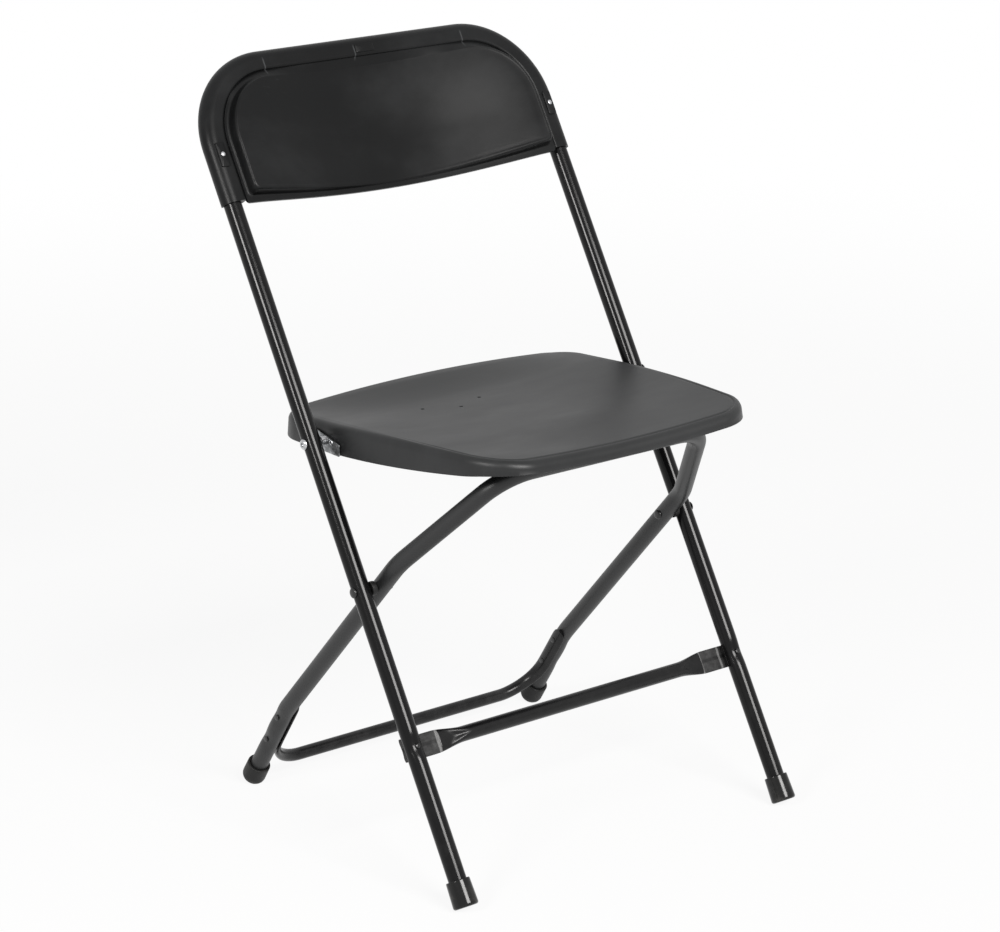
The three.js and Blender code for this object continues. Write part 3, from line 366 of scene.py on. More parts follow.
# Black enamel: gloss with a faint orange peel, light scuffs, dust low down, and any marks given, which on
# the front crossbar are partly painted highlights and painted shade.
def enamelFinish(name, colours, roughness, depth, specular, marks=None):
    sizes = enamelSizes
    finish, place = newFinish(name)
    cloud = finish.noise(place, sizes["cloud"], 5, 0.6)
    peel = finish.noise(place, sizes["peel"], 2)
    scratch = finish.noise(finish.stretched(place, sizes["scratch"], sizes["scratchTurn"]), 1, 3, 0.7)
    scuff = finish.step(scratch, 0.66, 0.8) * finish.step(finish.noise(place, 30, 3), 0.5, 0.7)
    low = finish.step(finish.split(place, 2), sizes["dustBelow"], 0.0)
    dust = low * finish.step(finish.noise(place, 60, 6, 0.7), 0.35, 0.75)
    wearAndPaintedLight = scuff * sizes["scuffShare"] + dust * sizes["dustShare"]
    # Marks given here may add painted highlights and painted shade, as on the front crossbar's pressed ends.
    if marks:
        wearAndPaintedLight = wearAndPaintedLight + marks(finish, place)
    wearAndPaintedLight = wearAndPaintedLight.math("MINIMUM", 1.0)
    return finish.finishWith({
        "Base Color": finish.blend(wearAndPaintedLight, *colours),
        "Roughness": finish.range(cloud, 0.3, 0.7, *roughness) + wearAndPaintedLight * sizes["wornRoughness"],
        "Normal": finish.bump(peel + scratch * 0.3, depth, 0.6),
        "Specular IOR Level": specular,
    })


mouldedSizes = {
    "cells": 900,
    "grain": 1600,
    "depth": 0.00004,
    "flow": (6, 14, 6),
    "hairs": (60, 700, 60),
    "hairTurn": (0, 0, 0.5),
    "rubbedShare": 0.35,
    "shadeShare": 0.18,
}


# Moulded plastic: fine leather grain, slow changes of shade, and pale hairlines where it is rubbed.
def mouldedFinish(name, colours, roughness, specular, marks=None):
    sizes = mouldedSizes
    finish, place = newFinish(name)
    grain = finish.cells(place, sizes["cells"]) * 0.6 + finish.noise(place, sizes["grain"], 3) * 0.6
    flow = finish.noise(finish.stretched(place, sizes["flow"]), 1, 6, 0.62)
    hairs = finish.noise(finish.stretched(place, sizes["hairs"], sizes["hairTurn"]), 1, 4, 0.7)
    rubbed = finish.step(hairs, 0.6, 0.8) * finish.step(finish.noise(place, 11, 3), 0.48, 0.68)
    pale = rubbed * sizes["rubbedShare"] + finish.step(flow, 0.35, 0.7) * sizes["shadeShare"]
    if marks:
        pale = (pale + marks(finish, place)).math("MINIMUM", 1.0).math("MAXIMUM", 0.0)
    return finish.finishWith({
        "Base Color": finish.blend(pale, *colours),
        "Roughness": finish.range(flow, 0.3, 0.7, *roughness) + rubbed * 0.08,
        "Normal": finish.bump(grain, sizes["depth"], 0.7),
        "Specular IOR Level": specular,
    })


# Bare metal: streaks along one direction and small stains in colour and roughness.
def metalFinish(name, colours, roughness, streaks, stains, metallic):
    finish, place = newFinish(name)
    streak = finish.noise(finish.stretched(place, streaks), 1, 4, 0.6)
    stain = finish.step(finish.noise(place, stains, 5, 0.65), 0.42, 0.62)
    return finish.finishWith({
        "Base Color": finish.blend(stain * 0.6 + finish.step(streak, 0.45, 0.7) * 0.4, *colours),
        "Roughness": finish.range(streak, 0.3, 0.7, *roughness),
        "Normal": finish.bump(streak, 0.00004, 0.5),
        "Metallic": metallic,
    })


# Rubber and nylon: finely pitted, grey with dust near the floor, duller on the rear legs.
def softFinish(name, colours, roughness, pits, depth, rearDuller):
    finish, place = newFinish(name)
    cloud = finish.noise(place, 70, 5, 0.65)
    dust = finish.step(cloud, 0.5, 0.75) * finish.step(finish.split(place, 2), 0.03, 0.0)
    duller = finish.step(finish.split(place, 1), 0.0, 0.05) * rearDuller
    return finish.finishWith({
        "Base Color": finish.blend(dust * 0.7 + finish.step(cloud, 0.4, 0.8) * 0.15, *colours),
        "Roughness": finish.range(cloud, 0.3, 0.7, *roughness) + duller,
        "Normal": finish.bump(finish.cells(place, pits), depth, 0.5),
        "Specular IOR Level": 0.3,
    })


# 1 near a value, fading to 0 at half a line's width from it.
def lineAt(finish, value, middle, halfLine):
    return finish.step((value - middle).math("ABSOLUTE"), halfLine, halfLine / 3)


# Places and half widths of the marks, and of the painted highlight and shade lines on the front crossbar, in
# metres
markSizes = {
    "jointEnd": 0.129,  # joints at both ends of the rim's straight top, and one beside the tab
    "jointTab": -0.0135,
    "jointHalf": 0.0011,
    "jointFoot": (0.764, 0.769),  # heights over which the joints fade in and out
    "jointHead": (0.783, 0.778),
    # The press and leg places carry painted highlight lines, and the groove carries a painted shade line.
    "press": 0.1766,  # where the press stopped
    "pressHighlightHalf": 0.0016,
    "leg": 0.2025,  # where the bar meets the leg
    "legHighlightHalf": 0.002,
    "groove": 0.1435,  # height of the groove along the flat, where painted shade runs
    "grooveShadeHalf": 0.0025,
    # Where the flat's lightening begins: partly wear, partly painted highlight
    "flat": (0.1755, 0.178),
    "front": (-0.1, -0.11),  # keeps the marks off the rear crossbar
}


# Fine mould joints across the rim's face.
def rimJoints(finish, place):
    sizes = markSizes
    across, up = finish.split(place, 0), finish.split(place, 2)
    ends = lineAt(finish, across.math("ABSOLUTE"), sizes["jointEnd"], sizes["jointHalf"])
    lines = ends.math("MAXIMUM", lineAt(finish, across, sizes["jointTab"], sizes["jointHalf"]))
    return lines * finish.step(up, *sizes["jointFoot"]) * finish.step(up, *sizes["jointHead"]) * 0.9


# Pressed ends of the front crossbar: the flat lighter, partly rubbed wear and partly a painted highlight,
# painted highlight lines along the press line and beside the leg, and painted shade along the flat's groove.
def pressWearAndPaintedLight(finish, place):
    sizes = markSizes
    front = finish.step(finish.split(place, 1), *sizes["front"])
    ragged = finish.noise(place, 160, 4, 0.7)
    across = finish.split(place, 0).math("ABSOLUTE") + (ragged - 0.5) * 0.002
    # The flat is lighter: partly rubbed wear, partly a painted highlight.
    flat = finish.step(across, *sizes["flat"]) * finish.range(ragged, 0.35, 0.65, 0.1, 0.26)
    # Painted highlights: a bright line where the press stopped and a fainter one beside the leg.
    line = lineAt(finish, across, sizes["press"], sizes["pressHighlightHalf"])
    line = line + lineAt(finish, across, sizes["leg"], sizes["legHighlightHalf"]) * 0.6
    # Painted shade: the groove along the middle of the flat stays darker.
    groove = lineAt(finish, finish.split(place, 2), sizes["groove"], sizes["grooveShadeHalf"])
    return (flat * (1 - groove * 0.6) + line) * front


# Each colour with the one it wears to; on barEnamel that second colour also gives the painted highlights of
# the pressed ends
finishColours = {
    "enamel": ((0.0045, 0.0045, 0.0048, 1), (0.09, 0.09, 0.088, 1)),
    "dullEnamel": ((0.012, 0.0125, 0.013, 1), (0.11, 0.11, 0.108, 1)),
    # Its worn colour also gives the painted highlights of the front crossbar's pressed ends.
    "barEnamel": ((0.0045, 0.0045, 0.0048, 1), (0.2, 0.2, 0.2, 1)),
    "backPlastic": ((0.004, 0.0042, 0.0044, 1), (0.05, 0.052, 0.054, 1)),
    "seatPlastic": ((0.011, 0.0115, 0.012, 1), (0.062, 0.064, 0.066, 1)),
    "rubber": ((0.006, 0.006, 0.006, 1), (0.07, 0.068, 0.064, 1)),
    "zinc": ((0.62, 0.625, 0.64, 1), (0.36, 0.365, 0.37, 1)),
    "galvanised": ((0.42, 0.43, 0.44, 1), (0.04, 0.041, 0.043, 1)),
    "nylon": ((0.008, 0.008, 0.008, 1), (0.05, 0.05, 0.05, 1)),
}


# One finish for each slot. After the colours come the least and greatest roughness.
def makeFinishes():
    tone = finishColours
    return {
        "front_paint": enamelFinish("glossBlackEnamel", tone["enamel"], (0.13, 0.16), 0.000001, 0.2),
        "rear_paint": enamelFinish("dullBlackEnamel", tone["dullEnamel"], (0.36, 0.46), 0.00004, 0.5),
        "bar_paint": enamelFinish(
            "barBlackEnamel", tone["barEnamel"], (0.22, 0.3), 0.000005, 0.28, pressWearAndPaintedLight
        ),
        "back_plastic": mouldedFinish("mouldedBack", tone["backPlastic"], (0.31, 0.42), 0.18, rimJoints),
        "seat_plastic": mouldedFinish("mouldedSeat", tone["seatPlastic"], (0.37, 0.48), 0.36),
        "cap_rubber": softFinish("capRubber", tone["rubber"], (0.12, 0.21), 1100, 0.000006, 0.35),
        "black_rivet": enamelFinish("blackenedRivet", tone["enamel"], (0.22, 0.3), 0.00001, 0.6),
        "bright_steel": metalFinish("brightZinc", tone["zinc"], (0.17, 0.34), (500, 500, 900), 260, 1.0),
        "plated_steel": metalFinish(
            "galvanisedPlate", tone["galvanised"], (0.31, 0.48), (60, 420, 38), 170, 0.95
        ),
        "spacer_nylon": softFinish("spacerNylon", tone["nylon"], (0.47, 0.56), 1400, 0.00002, 0),
    }


finishes = makeFinishes()
print("finishes made:", len(finishes))

tubeSizes = {
    "radius": 9.5,
    "sides": 40,
    "dimpleDepth": 1.9,  # where a crossbar rivet draws the wall in
    "dimpleReach": 9.5,
}


# Radius of a tube wall: radius - depth * exp(-(distance on the wall / reach)^2) for each dimple,
# a dimple being (distance along, angle round in degrees).
def dimpledRadius(distances, dimples):
    angle = 2 * np.pi * np.arange(tubeSizes["sides"]) / tubeSizes["sides"]
    radius = np.full((len(distances), len(angle)), tubeSizes["radius"])
    for along, degrees in dimples:
        turn = (angle - math.radians(degrees) + np.pi) % (2 * np.pi) - np.pi
        gap = (distances[:, None] - along) ** 2 + (tubeSizes["radius"] * turn) ** 2
        radius -= tubeSizes["dimpleDepth"] * np.exp(-gap / tubeSizes["dimpleReach"] ** 2)
    return radius


# A tube along a path: place + radius * circle. A negative distance of a dimple counts from the far end.
def tubeGrid(corners, firstSide, dimples, spacing=4):
    pieces, total = pathPieces(corners)
    dimples = [(along % total, degrees) for along, degrees in dimples]
    distances = stepsAlong(total, spacing, [along for along, degrees in dimples])
    place, direction = alongPath(pieces, distances)
    side, over = carried(direction, firstSide)
    section = dimpledRadius(distances, dimples)[..., None] * circle(tubeSizes["sides"])
    return closedEnds(carry(place, side, over, section))


# Along the front frame from the floor, and out from the middle
frontSizes = {
    "half": 214,
    "top": 902.5,
    "corner": 85,
    "tubeStart": 10.03,
    "crossbar": 172.5,
    "legPivot": 338,
    "seatPivot": 497,
    "backRivet": 807,
}


# Front tube: up the left leg, over the top of the back, down the right leg.
def frontPath(start):
    half, top, corner = frontSizes["half"], frontSizes["top"], frontSizes["corner"]
    return [
        ((-half, 0, start), 0),
        ((-half, 0, top), corner),
        ((half, 0, top), corner),
        ((half, 0, start), 0),
    ]


# Dimples at the crossbar's rivets: distance from either end of the tube, and degrees round it
fromFoot = frontSizes["crossbar"] - frontSizes["tubeStart"]
frontDimples = [(fromFoot, 270), (-fromFoot, 270)]
frontTube = tubeGrid(frontPath(frontSizes["tubeStart"]), xAxis, frontDimples)
makePiece("frontTube", "front_frame", [frontTube], "front_paint", "front_frame_tube")

# Up and down from the leg pivots, and out from the middle
rearSizes = {
    "half": 188.5,
    "splay": math.tan(math.radians(0.68)),
    "kneeBelow": 254,
    "knee": math.radians(8.9),
    "kneeRadius": 120,
    "neckAbove": 42,
    "neckRadius": 60,
    "crossHalf": 127.35,
    "crossAbove": 184,
    "crossRadius": 50,
    "kneeToFloor": 124.4,
    "tubeStart": 7.6,
    "rivets": (11, 48.5),  # below the knee
}


# A place on the upper leg, or on its line below the knee.
def onLeg(side, up):
    return np.array([side * (rearSizes["half"] - up * rearSizes["splay"]), 0, up])


# A place on the lower leg, measured down from the knee.
def belowKnee(side, down):
    knee = rearSizes["knee"]
    step = np.array([side * rearSizes["splay"], -math.sin(knee), -math.cos(knee)])
    return onLeg(side, -rearSizes["kneeBelow"]) + down * step


# Foot, knee, neck and cross tube of one side.
def rearHalf(side):
    return [
        (belowKnee(side, rearSizes["kneeToFloor"] - rearSizes["tubeStart"]), 0),
        (onLeg(side, -rearSizes["kneeBelow"]), rearSizes["kneeRadius"]),
        (onLeg(side, rearSizes["neckAbove"]), rearSizes["neckRadius"]),
        ((side * rearSizes["crossHalf"], 0, rearSizes["crossAbove"]), rearSizes["crossRadius"]),
    ]


fromRearFoot = [rearSizes["kneeToFloor"] - rearSizes["tubeStart"] - down for down in rearSizes["rivets"]]
rearDimples = [(sign * along, 180) for sign in (1, -1) for along in fromRearFoot]
rearTube = tubeGrid(rearHalf(-1) + rearHalf(1)[::-1], xAxis, rearDimples, 3)
makePiece("rearTube", "rear_frame", [rearTube], "rear_paint", "rear_frame_tube")

frontBarSizes = {
    "radius": 8,
    "flatThick": 1.6,
    "flatHigh": 12.2,
    "back": 11.4,  # bar centre behind the leg centres
    "reach": 7,
    "flatLength": 39,
    "blend": 38,
    "pressLine": (43.5, 46.5),  # from the tip: the step where the press stopped
    "pressShare": 0.3,
    "facet": 16,  # how much further the press mark runs along the middle of each face
    "facetBlend": 24,
    "dent": 0.6,  # depth of the groove along the middle of each flat
    "dentWidth": 0.2,
    "dentEnd": (36, 43),
}


# Front crossbar: round, pressed flat at the ends, its tips curled round the outside of the legs.
# Section = flat + (round - flat) * share, where the height's share is a smoothstep of the distance from
# the tip, and the thickness's share steps up at the press line and leaves a pointed facet beyond it.
def frontBar():
    sizes = frontBarSizes
    half = frontSizes["half"]
    tip = half + sizes["reach"]
    right = np.concatenate([  # closer together where the press shapes the bar
        np.linspace(0, 115, 20), np.linspace(118, half - 9.5, 110), np.linspace(half - 8, tip, 18)
    ])
    x = np.concatenate([-right[:0:-1], right])
    past = np.maximum(0, np.abs(x) - half)
    back = np.sqrt(sizes["back"] ** 2 - past**2)
    lean = -np.sign(x) * np.arcsin(past / sizes["back"])
    place = np.stack([x, back, np.full_like(x, frontSizes["crossbar"])], -1)
    side = np.stack([-np.sin(lean), np.cos(lean), np.zeros_like(x)], -1)
    over = np.broadcast_to(zAxis, side.shape)
    run = np.append(0, np.cumsum(np.linalg.norm(np.diff(place, axis=0), axis=1)))
    fromTip = np.minimum(run, run[-1] - run)[:, None]
    ring = circle(tubeSizes["sides"])
    middle = 1 - np.abs(ring[:, 1])
    bulge = np.sign(ring) * np.sqrt(np.abs(ring))
    flat = bulge * (sizes["flatThick"], sizes["flatHigh"])
    high = smoothstep(fromTip, sizes["flatLength"], sizes["flatLength"] + sizes["blend"])
    start = sizes["pressLine"][1] + sizes["facet"] * middle
    jump = smoothstep(fromTip, *sizes["pressLine"]) * sizes["pressShare"]
    thick = jump + (1 - jump) * smoothstep(fromTip, start, start + sizes["facetBlend"])
    groove = sizes["dent"] * np.exp(-((ring[:, 1] / sizes["dentWidth"]) ** 2))
    groove = groove * (1 - smoothstep(fromTip, *sizes["dentEnd"]))
    section = mix(flat, ring * sizes["radius"], np.stack(np.broadcast_arrays(thick, high), -1))
    section = section - np.stack([np.sign(ring[:, 0]) * groove, groove * 0], -1)
    return closedEnds(carry(place, side, over, section))


makePiece("frontCrossbar", "front_frame", [frontBar()], "bar_paint", "front_crossbar", 50)

rearBarSizes = {
    "radius": 6.9,
    "below": 98.2,
    "tipAbove": 7,
    "tipLength": 14,
    "tipEnd": 0.98,  # how much of the tip's roundness is drawn before its end is closed
    "kneeBend": 60,
    "corner": 42,
    "cupLength": 52,
    "cupBlend": 62,
    "inset": 11.6,  # leg centre to bar centre
    "cupHalfThick": 1.5,
    "cupEdge": 0.45,  # power that squares the cup's edges
    "cupHalfDegrees": 44,
    "cupForwardDegrees": 9,
}


# Rear crossbar: a shallow U whose ends are pressed into cups round the legs.
# Cup section: radius (inset +- half thickness) at angle forward + half opening * sin of the ring angle.
def rearBar():
    sizes = rearBarSizes

    def inwards(side, down):
        return belowKnee(side, down) - xAxis * side * sizes["inset"]

    def end(side):
        tip = onLeg(side, sizes["tipAbove"] - rearSizes["kneeBelow"]) - xAxis * side * sizes["inset"]
        bend = (inwards(side, 0), sizes["kneeBend"])
        return [(tip, 0), bend, (inwards(side, sizes["below"]), sizes["corner"])]

    pieces, total = pathPieces(end(-1) + end(1)[::-1])
    distances = stepsAlong(total, 3)
    place, direction = alongPath(pieces, distances)
    side, over = carried(direction, xAxis)
    fromTip = np.minimum(distances, total - distances)[:, None, None]
    ring = circle(tubeSizes["sides"])
    tongue = np.sqrt(1 - np.clip(1 - fromTip[..., 0] / sizes["tipLength"], 0, sizes["tipEnd"]) ** 2)
    angle = np.radians(sizes["cupForwardDegrees"] + sizes["cupHalfDegrees"] * ring[:, 1] * tongue)
    thick = sizes["cupHalfThick"] * np.sign(ring[:, 0]) * np.abs(ring[:, 0]) ** sizes["cupEdge"]
    radius = sizes["inset"] + thick
    cup = np.stack([radius * np.cos(angle) - sizes["inset"], radius * np.sin(angle)], -1)
    share = smoothstep(fromTip, sizes["cupLength"], sizes["cupLength"] + sizes["cupBlend"])
    return closedEnds(carry(place, side, over, mix(cup, ring * sizes["radius"], share)))


makePiece("rearCrossbar", "rear_frame", [rearBar()], "bar_paint", "rear_crossbar", 50)
print("tubes and bars made")

capSizes = {
    "front": {"top": 12.4, "bottom": 13.2, "height": 28, "rounding": 2.6, "start": 5.73},
    "rear": {"top": 12.6, "bottom": 12.8, "height": 27, "rounding": 9, "start": 3.29},
    "bore": 10.1,
    "floor": 4,  # thickness of the sole
    "lip": 1,
}


# Cap profile from the sole round its corner, up the wall, over the lip and down the bore.
def capProfile(sizes):
    start, end = sizes["start"], sizes["start"] + sizes["height"]
    rounding, lip = sizes["rounding"], capSizes["lip"]
    sole = arc((sizes["bottom"] - rounding, start + rounding), rounding, -90, 0, 10)
    up = np.linspace(start + rounding + 1, end - lip - 0.5, 12)
    share = (up - start - rounding) / (end - start - rounding)
    wall = np.stack([mix(sizes["bottom"], sizes["top"], share), up], -1)
    rim = arc((sizes["top"] - lip, end - lip), lip, 0, 90, 5)
    floor = start + capSizes["floor"]
    bore = [(capSizes["bore"], end), (capSizes["bore"], floor), (0, floor)]
    return np.concatenate([[(0, start)], sole, wall, rim, bore])


for word, side in bothSides:
    down, knee = rearSizes["kneeToFloor"], rearSizes["knee"]
    rearFoot = belowKnee(side, down)
    rearFoot[0] = belowKnee(side, down - capSizes["rear"]["height"] / 2)[0]
    feet = {
        "front": ((side * frontSizes["half"], 0, 0), zAxis),
        "rear": (rearFoot, (0, math.sin(knee), math.cos(knee))),
    }
    for end, (place, direction) in feet.items():
        cap = turned(capProfile(capSizes[end]), place, direction, 64)
        title = end + "FootCap" + word.title()
        makePiece(title, end + "_frame", [cap], "cap_rubber", f"{end}_foot_cap_{word}")

pinSizes = {
    "fit": 0.3,
    "sunk": 0.6,  # share of a dimple's depth that a rivet's head goes in
    "pin": {"shank": 3, "head": 5.4, "height": 2.2},
    "flushRivet": {"shank": 2.3, "head": 3.4, "height": 0.7},
    "smallRivet": {"shank": 1.8, "head": 2.7, "height": 1.2},
    "spacer": {"radius": 7.5, "length": 5.9, "corner": 0.8},
    "seatHead": {"radius": 5.6, "height": 2.8, "recess": 2.4, "deep": 1.4},
    "seatGap": 7.5,  # between a front leg and the seat
    "seatBush": 5,
    "seatTail": {"radius": 4, "height": 1.6, "corner": 0.5},
    "seatWall": 190.5,  # inner face of the seat's side, from the middle
    "backFace": 13.1,  # face of the back's boss, ahead of the leg centre
}


# Domed head: radius cos t, height sin t raised to 0.8 for a slightly flat crown.
def dome(head, height, base, outwards, steps=9):
    t = np.linspace(0, np.pi / 2, steps)
    return np.stack([head * np.cos(t), base + outwards * height * np.sin(t) ** 0.8], -1)


# A pin with a dome at both ends of a span along its own line.
def headedPin(name, body, place, direction, span, sizes, slotName, node):
    start, end = span[0] - pinSizes["fit"], span[1] + pinSizes["fit"]
    inner = dome(sizes["head"], sizes["height"], start, -1)[::-1]
    outer = dome(sizes["head"], sizes["height"], end, 1)
    profile = np.concatenate([inner, [(sizes["shank"], start), (sizes["shank"], end)], outer])
    profile[[0, -1], 0] = 0
    makePiece(name, body, [turned(profile, place, direction)], slotName, node)


# Spacer between the legs: a ring with rounded outer corners, measured outwards from the front leg's centre.
def spacerProfile():
    sizes = pinSizes["spacer"]
    bore, wide, corner = pinSizes["pin"]["shank"] + pinSizes["fit"], sizes["radius"], sizes["corner"]
    near = -tubeSizes["radius"] - pinSizes["fit"]
    far = near - sizes["length"]
    lower = arc((wide - corner, far + corner), corner, -90, 0, 4)
    upper = arc((wide - corner, near - corner), corner, 0, 90, 4)
    return np.concatenate([[(bore, far)], lower, upper, [(bore, near)]])


# Stepped seat pin: a small head in the seat, a bush in the gap, and a recessed head outside the leg.
def seatPinProfile():
    head, tail, fit = pinSizes["seatHead"], pinSizes["seatTail"], pinSizes["fit"]
    shank, bush, base = pinSizes["pin"]["shank"], pinSizes["seatBush"], tubeSizes["radius"] + fit
    inside = pinSizes["seatWall"] - fit - frontSizes["half"]
    bushEnd = 2 * fit - pinSizes["seatGap"] - base
    foot, corner = inside - tail["height"], tail["corner"]
    crown = dome(head["radius"], head["height"], base, 1, 15)
    crown = crown[crown[:, 0] > head["recess"] + 0.2]
    deep = crown[-1, 1] - head["deep"]
    return np.concatenate([
        [(0, foot), (tail["radius"] - corner, foot), (tail["radius"], foot + corner)],
        [(tail["radius"], inside), (shank, inside), (shank, bushEnd), (bush, bushEnd), (bush, -base)],
        [(shank, -base), (shank, base), (head["radius"], base)],
        crown[1:],
        [(head["recess"], crown[-1, 1] - 0.2), (head["recess"] - 0.3, deep), (0, deep)],
    ])


for word, side in bothSides:
    title, out = word.title(), xAxis * side
    leg = out * frontSizes["half"]
    wall = tubeSizes["radius"]
    sunkWall = wall - tubeSizes["dimpleDepth"] * pinSizes["sunk"]

    headedPin(
        "frontCrossbarRivet" + title, "front_frame", leg + zAxis * frontSizes["crossbar"], yAxis,
        (-sunkWall, frontBarSizes["back"] + frontBarSizes["flatThick"]), pinSizes["smallRivet"],
        "black_rivet", "front_crossbar_rivet_" + word,
    )
    at = leg + zAxis * frontSizes["legPivot"]
    headedPin(
        "legPivotPin" + title, "front_frame", at, out, (rearSizes["half"] - frontSizes["half"] - wall, wall),
        pinSizes["pin"], "black_rivet", "leg_pivot_pin_" + word,
    )
    spacer = (turned(spacerProfile(), at, out), True, True)
    makePiece("legPivotSpacer" + title, "front_frame", [spacer], "spacer_nylon", "leg_pivot_spacer_" + word)

    seatPin = turned(seatPinProfile(), leg + zAxis * frontSizes["seatPivot"], out)
    makePiece("seatPivotPin" + title, "front_frame", [seatPin], "bright_steel", "seat_pivot_pin_" + word)

    headedPin(
        "backRivet" + title, "front_frame", leg + zAxis * frontSizes["backRivet"], yAxis,
        (-pinSizes["backFace"], wall), pinSizes["smallRivet"], "bright_steel", "back_rivet_" + word,
    )
    for i, down in enumerate(rearSizes["rivets"], 1):
        headedPin(
            f"rearCrossbarRivet{title}{i}", "rear_frame", belowKnee(side, down), out,
            (-rearBarSizes["inset"] - rearBarSizes["cupHalfThick"], sunkWall), pinSizes["flushRivet"],
            "black_rivet", f"rear_crossbar_rivet_{word}_{i}",
        )

# About the seat's pivot, which is the plate's middle along Y
bracketSizes = {
    "outer": 197.0,
    "thick": 1.6,
    "halfLength": 23,
    "top": 3.8,
    "bottom": -13,
    "rise": 0.2,  # how much the upper edge climbs towards the rear
    "corner": 1.6,
    "edge": 0.4,
    "rivetOffset": 10,
    "rivetDrop": 0.8,
}


# Plate with rounded edges, its upper edge climbing: up + rise * distance * share of the way to that edge.
def bracketPlate(side):
    sizes = bracketSizes
    edge, outer, inner = sizes["edge"], sizes["outer"], sizes["outer"] - sizes["thick"]
    middle, high = (sizes["top"] + sizes["bottom"]) / 2, sizes["top"] - sizes["bottom"]
    rounded = ((edge, 0), (edge / 4, edge * 0.3), (0, edge))  # in from the outline, and from a face
    near = [(inset, inner + deep) for inset, deep in rounded]
    far = [(inset, outer - deep) for inset, deep in rounded[::-1]]
    plate = pad(sizes["halfLength"], high / 2, sizes["corner"], near + far)
    up = plate[..., 2] + middle
    up = up + sizes["rise"] * plate[..., 0] * (up - sizes["bottom"]) / high
    return np.stack([side * plate[..., 1], plate[..., 0], up], -1)


for word, side in bothSides:
    title = word.title()
    plate = bracketPlate(side)
    makePiece("seatBracket" + title, "seat", [plate], "plated_steel", "seat_bracket_" + word, 30)
    for end, sign in (("front", -1), ("rear", 1)):
        at = np.array([0, sign * bracketSizes["rivetOffset"], -bracketSizes["rivetDrop"]])
        headedPin(
            f"seatBracketRivet{title}{end.title()}", "seat", at, xAxis * side,
            (pinSizes["seatWall"], bracketSizes["outer"]), pinSizes["smallRivet"], "bright_steel",
            f"seat_bracket_rivet_{word}_{end}",
        )
print("caps, pins, rivets, spacers and brackets made")

# Back: a rim clipped over the tube, and a hollow-curved panel with a raised edge
backSizes = {
    "rimBottom": 756,
    "rimInner": 9.8,
    "rimOuter": 11.8,
    "shoulder": 3.2,
    "panelBottom": 753,
    "panelBow": 5,  # how far the lower edge hangs down in the middle
    "panelThick": 3,
    "edgeForward": 23,  # ridge ahead of the tube centres
    "sagitta": 29,  # depth of the panel's hollow
    "valleyForward": 11,  # the strip outside the ridge
    "valleySagitta": 19,
    "ridgeInset": 20.5,
    "outerInset": 11.5,
    "ridgeLift": 13,
    "ridgeSag": 0.72,  # share of that lift lost at the middle
    "cornerRadius": 4,
    "flushFrom": (862, 884),  # the valley fills up towards the top
    "topSagitta": 0.72,  # share of the hollow left at the top
    "rimFace": 9,  # where the band along the top starts, ahead of the tube centres
    "ribSpacing": 78,
    "ribThick": 2.4,
    "ribDepth": 4.6,
    "ribSpan": (769, 868.5),
    "ribEase": 14,
    "boss": {"half": 5, "high": 13.5, "corner": 1.6, "proud": 1.3},
    "tab": {"half": 12, "high": 4.4, "corner": 1, "proud": 0.8, "middle": 898.6},
}
# Shares of the way from strip to ridge, from lower edge to ridge, and from valley to panel
frontFace = [
    (0, 0, 0), (0.36, 0.54, 0), (0.55, 0.66, 0.12), (0.78, 0.83, 0.85), (1, 1, 1), (1.33, 1.22, 0.98)
]
rearFace = [(1.33, 1.37, 0.97), (1.11, 1.2, 0.85), (0.89, 1.05, 0.12), (0.67, 0.95, 0), (0, 0, 0)]


# Points between the given rows: each stretch is a cubic through its ends with the neighbours' slope.
def smoothRows(rows, steps):
    rows = np.asarray(rows, float)
    slopes = np.gradient(rows, axis=0) * 0.8
    t = (np.arange(steps) / steps)[None, :, None]
    a, b, da, db = rows[:-1, None], rows[1:, None], slopes[:-1, None], slopes[1:, None]
    h = (2 * t**3 - 3 * t**2 + 1) * a + (t**3 - 2 * t**2 + t) * da
    h = h + (3 * t**2 - 2 * t**3) * b + (t**3 - t**2) * db
    return np.concatenate([h.reshape(-1, rows.shape[1]), rows[-1:]])


# Depth ahead of the tube centres: edge - sagitta * (1 - (x / half width)^2)^1.5, mixed from valley to
# panel by the share.
def forwardAt(x, along, share):
    half = frontSizes["half"] - backSizes["ridgeInset"]
    hollow = (1 - np.minimum(1, (x / half) ** 2)) ** 1.5
    hollow = hollow * mix(1, backSizes["topSagitta"], smoothstep(along, 800, 884))
    panel = backSizes["edgeForward"] - backSizes["sagitta"] * hollow
    valley = backSizes["valleyForward"] - backSizes["valleySagitta"] * hollow
    return mix(valley, panel, share)


# One ring of the panel. Its lower side bows down by bow * low^2 and, at the ridge, loses sag * low^6 of
# its lift; along the top the valley gives way to a band that slopes from the rim's face to the ridge.
def panelRing(shares, back):
    sizes, half, top = backSizes, frontSizes["half"], frontSizes["top"]
    inset = mix(sizes["outerInset"], sizes["ridgeInset"], shares[0])
    lift = sizes["ridgeLift"] * shares[1]
    flat = roundedOutline(
        half - inset, sizes["panelBottom"] + lift, top - inset, sizes["cornerRadius"] + lift / 6,
        frontSizes["corner"] - inset, 20, 28,
    )
    x, along = flat[:, 0], flat[:, 1]
    low = np.clip((top - along) / (top - sizes["panelBottom"]), 0, 1)
    bow = (sizes["panelBow"] * low**2 + sizes["ridgeSag"] * lift * low**6) * (1 - (x / half) ** 2)
    band = mix(sizes["rimFace"], forwardAt(x, along, 1), min(1, shares[0]))
    flush = smoothstep(along, *sizes["flushFrom"]) * (back == 0)
    return np.stack([x, back - mix(forwardAt(x, along, shares[2]), band, flush), along - bow], -1)


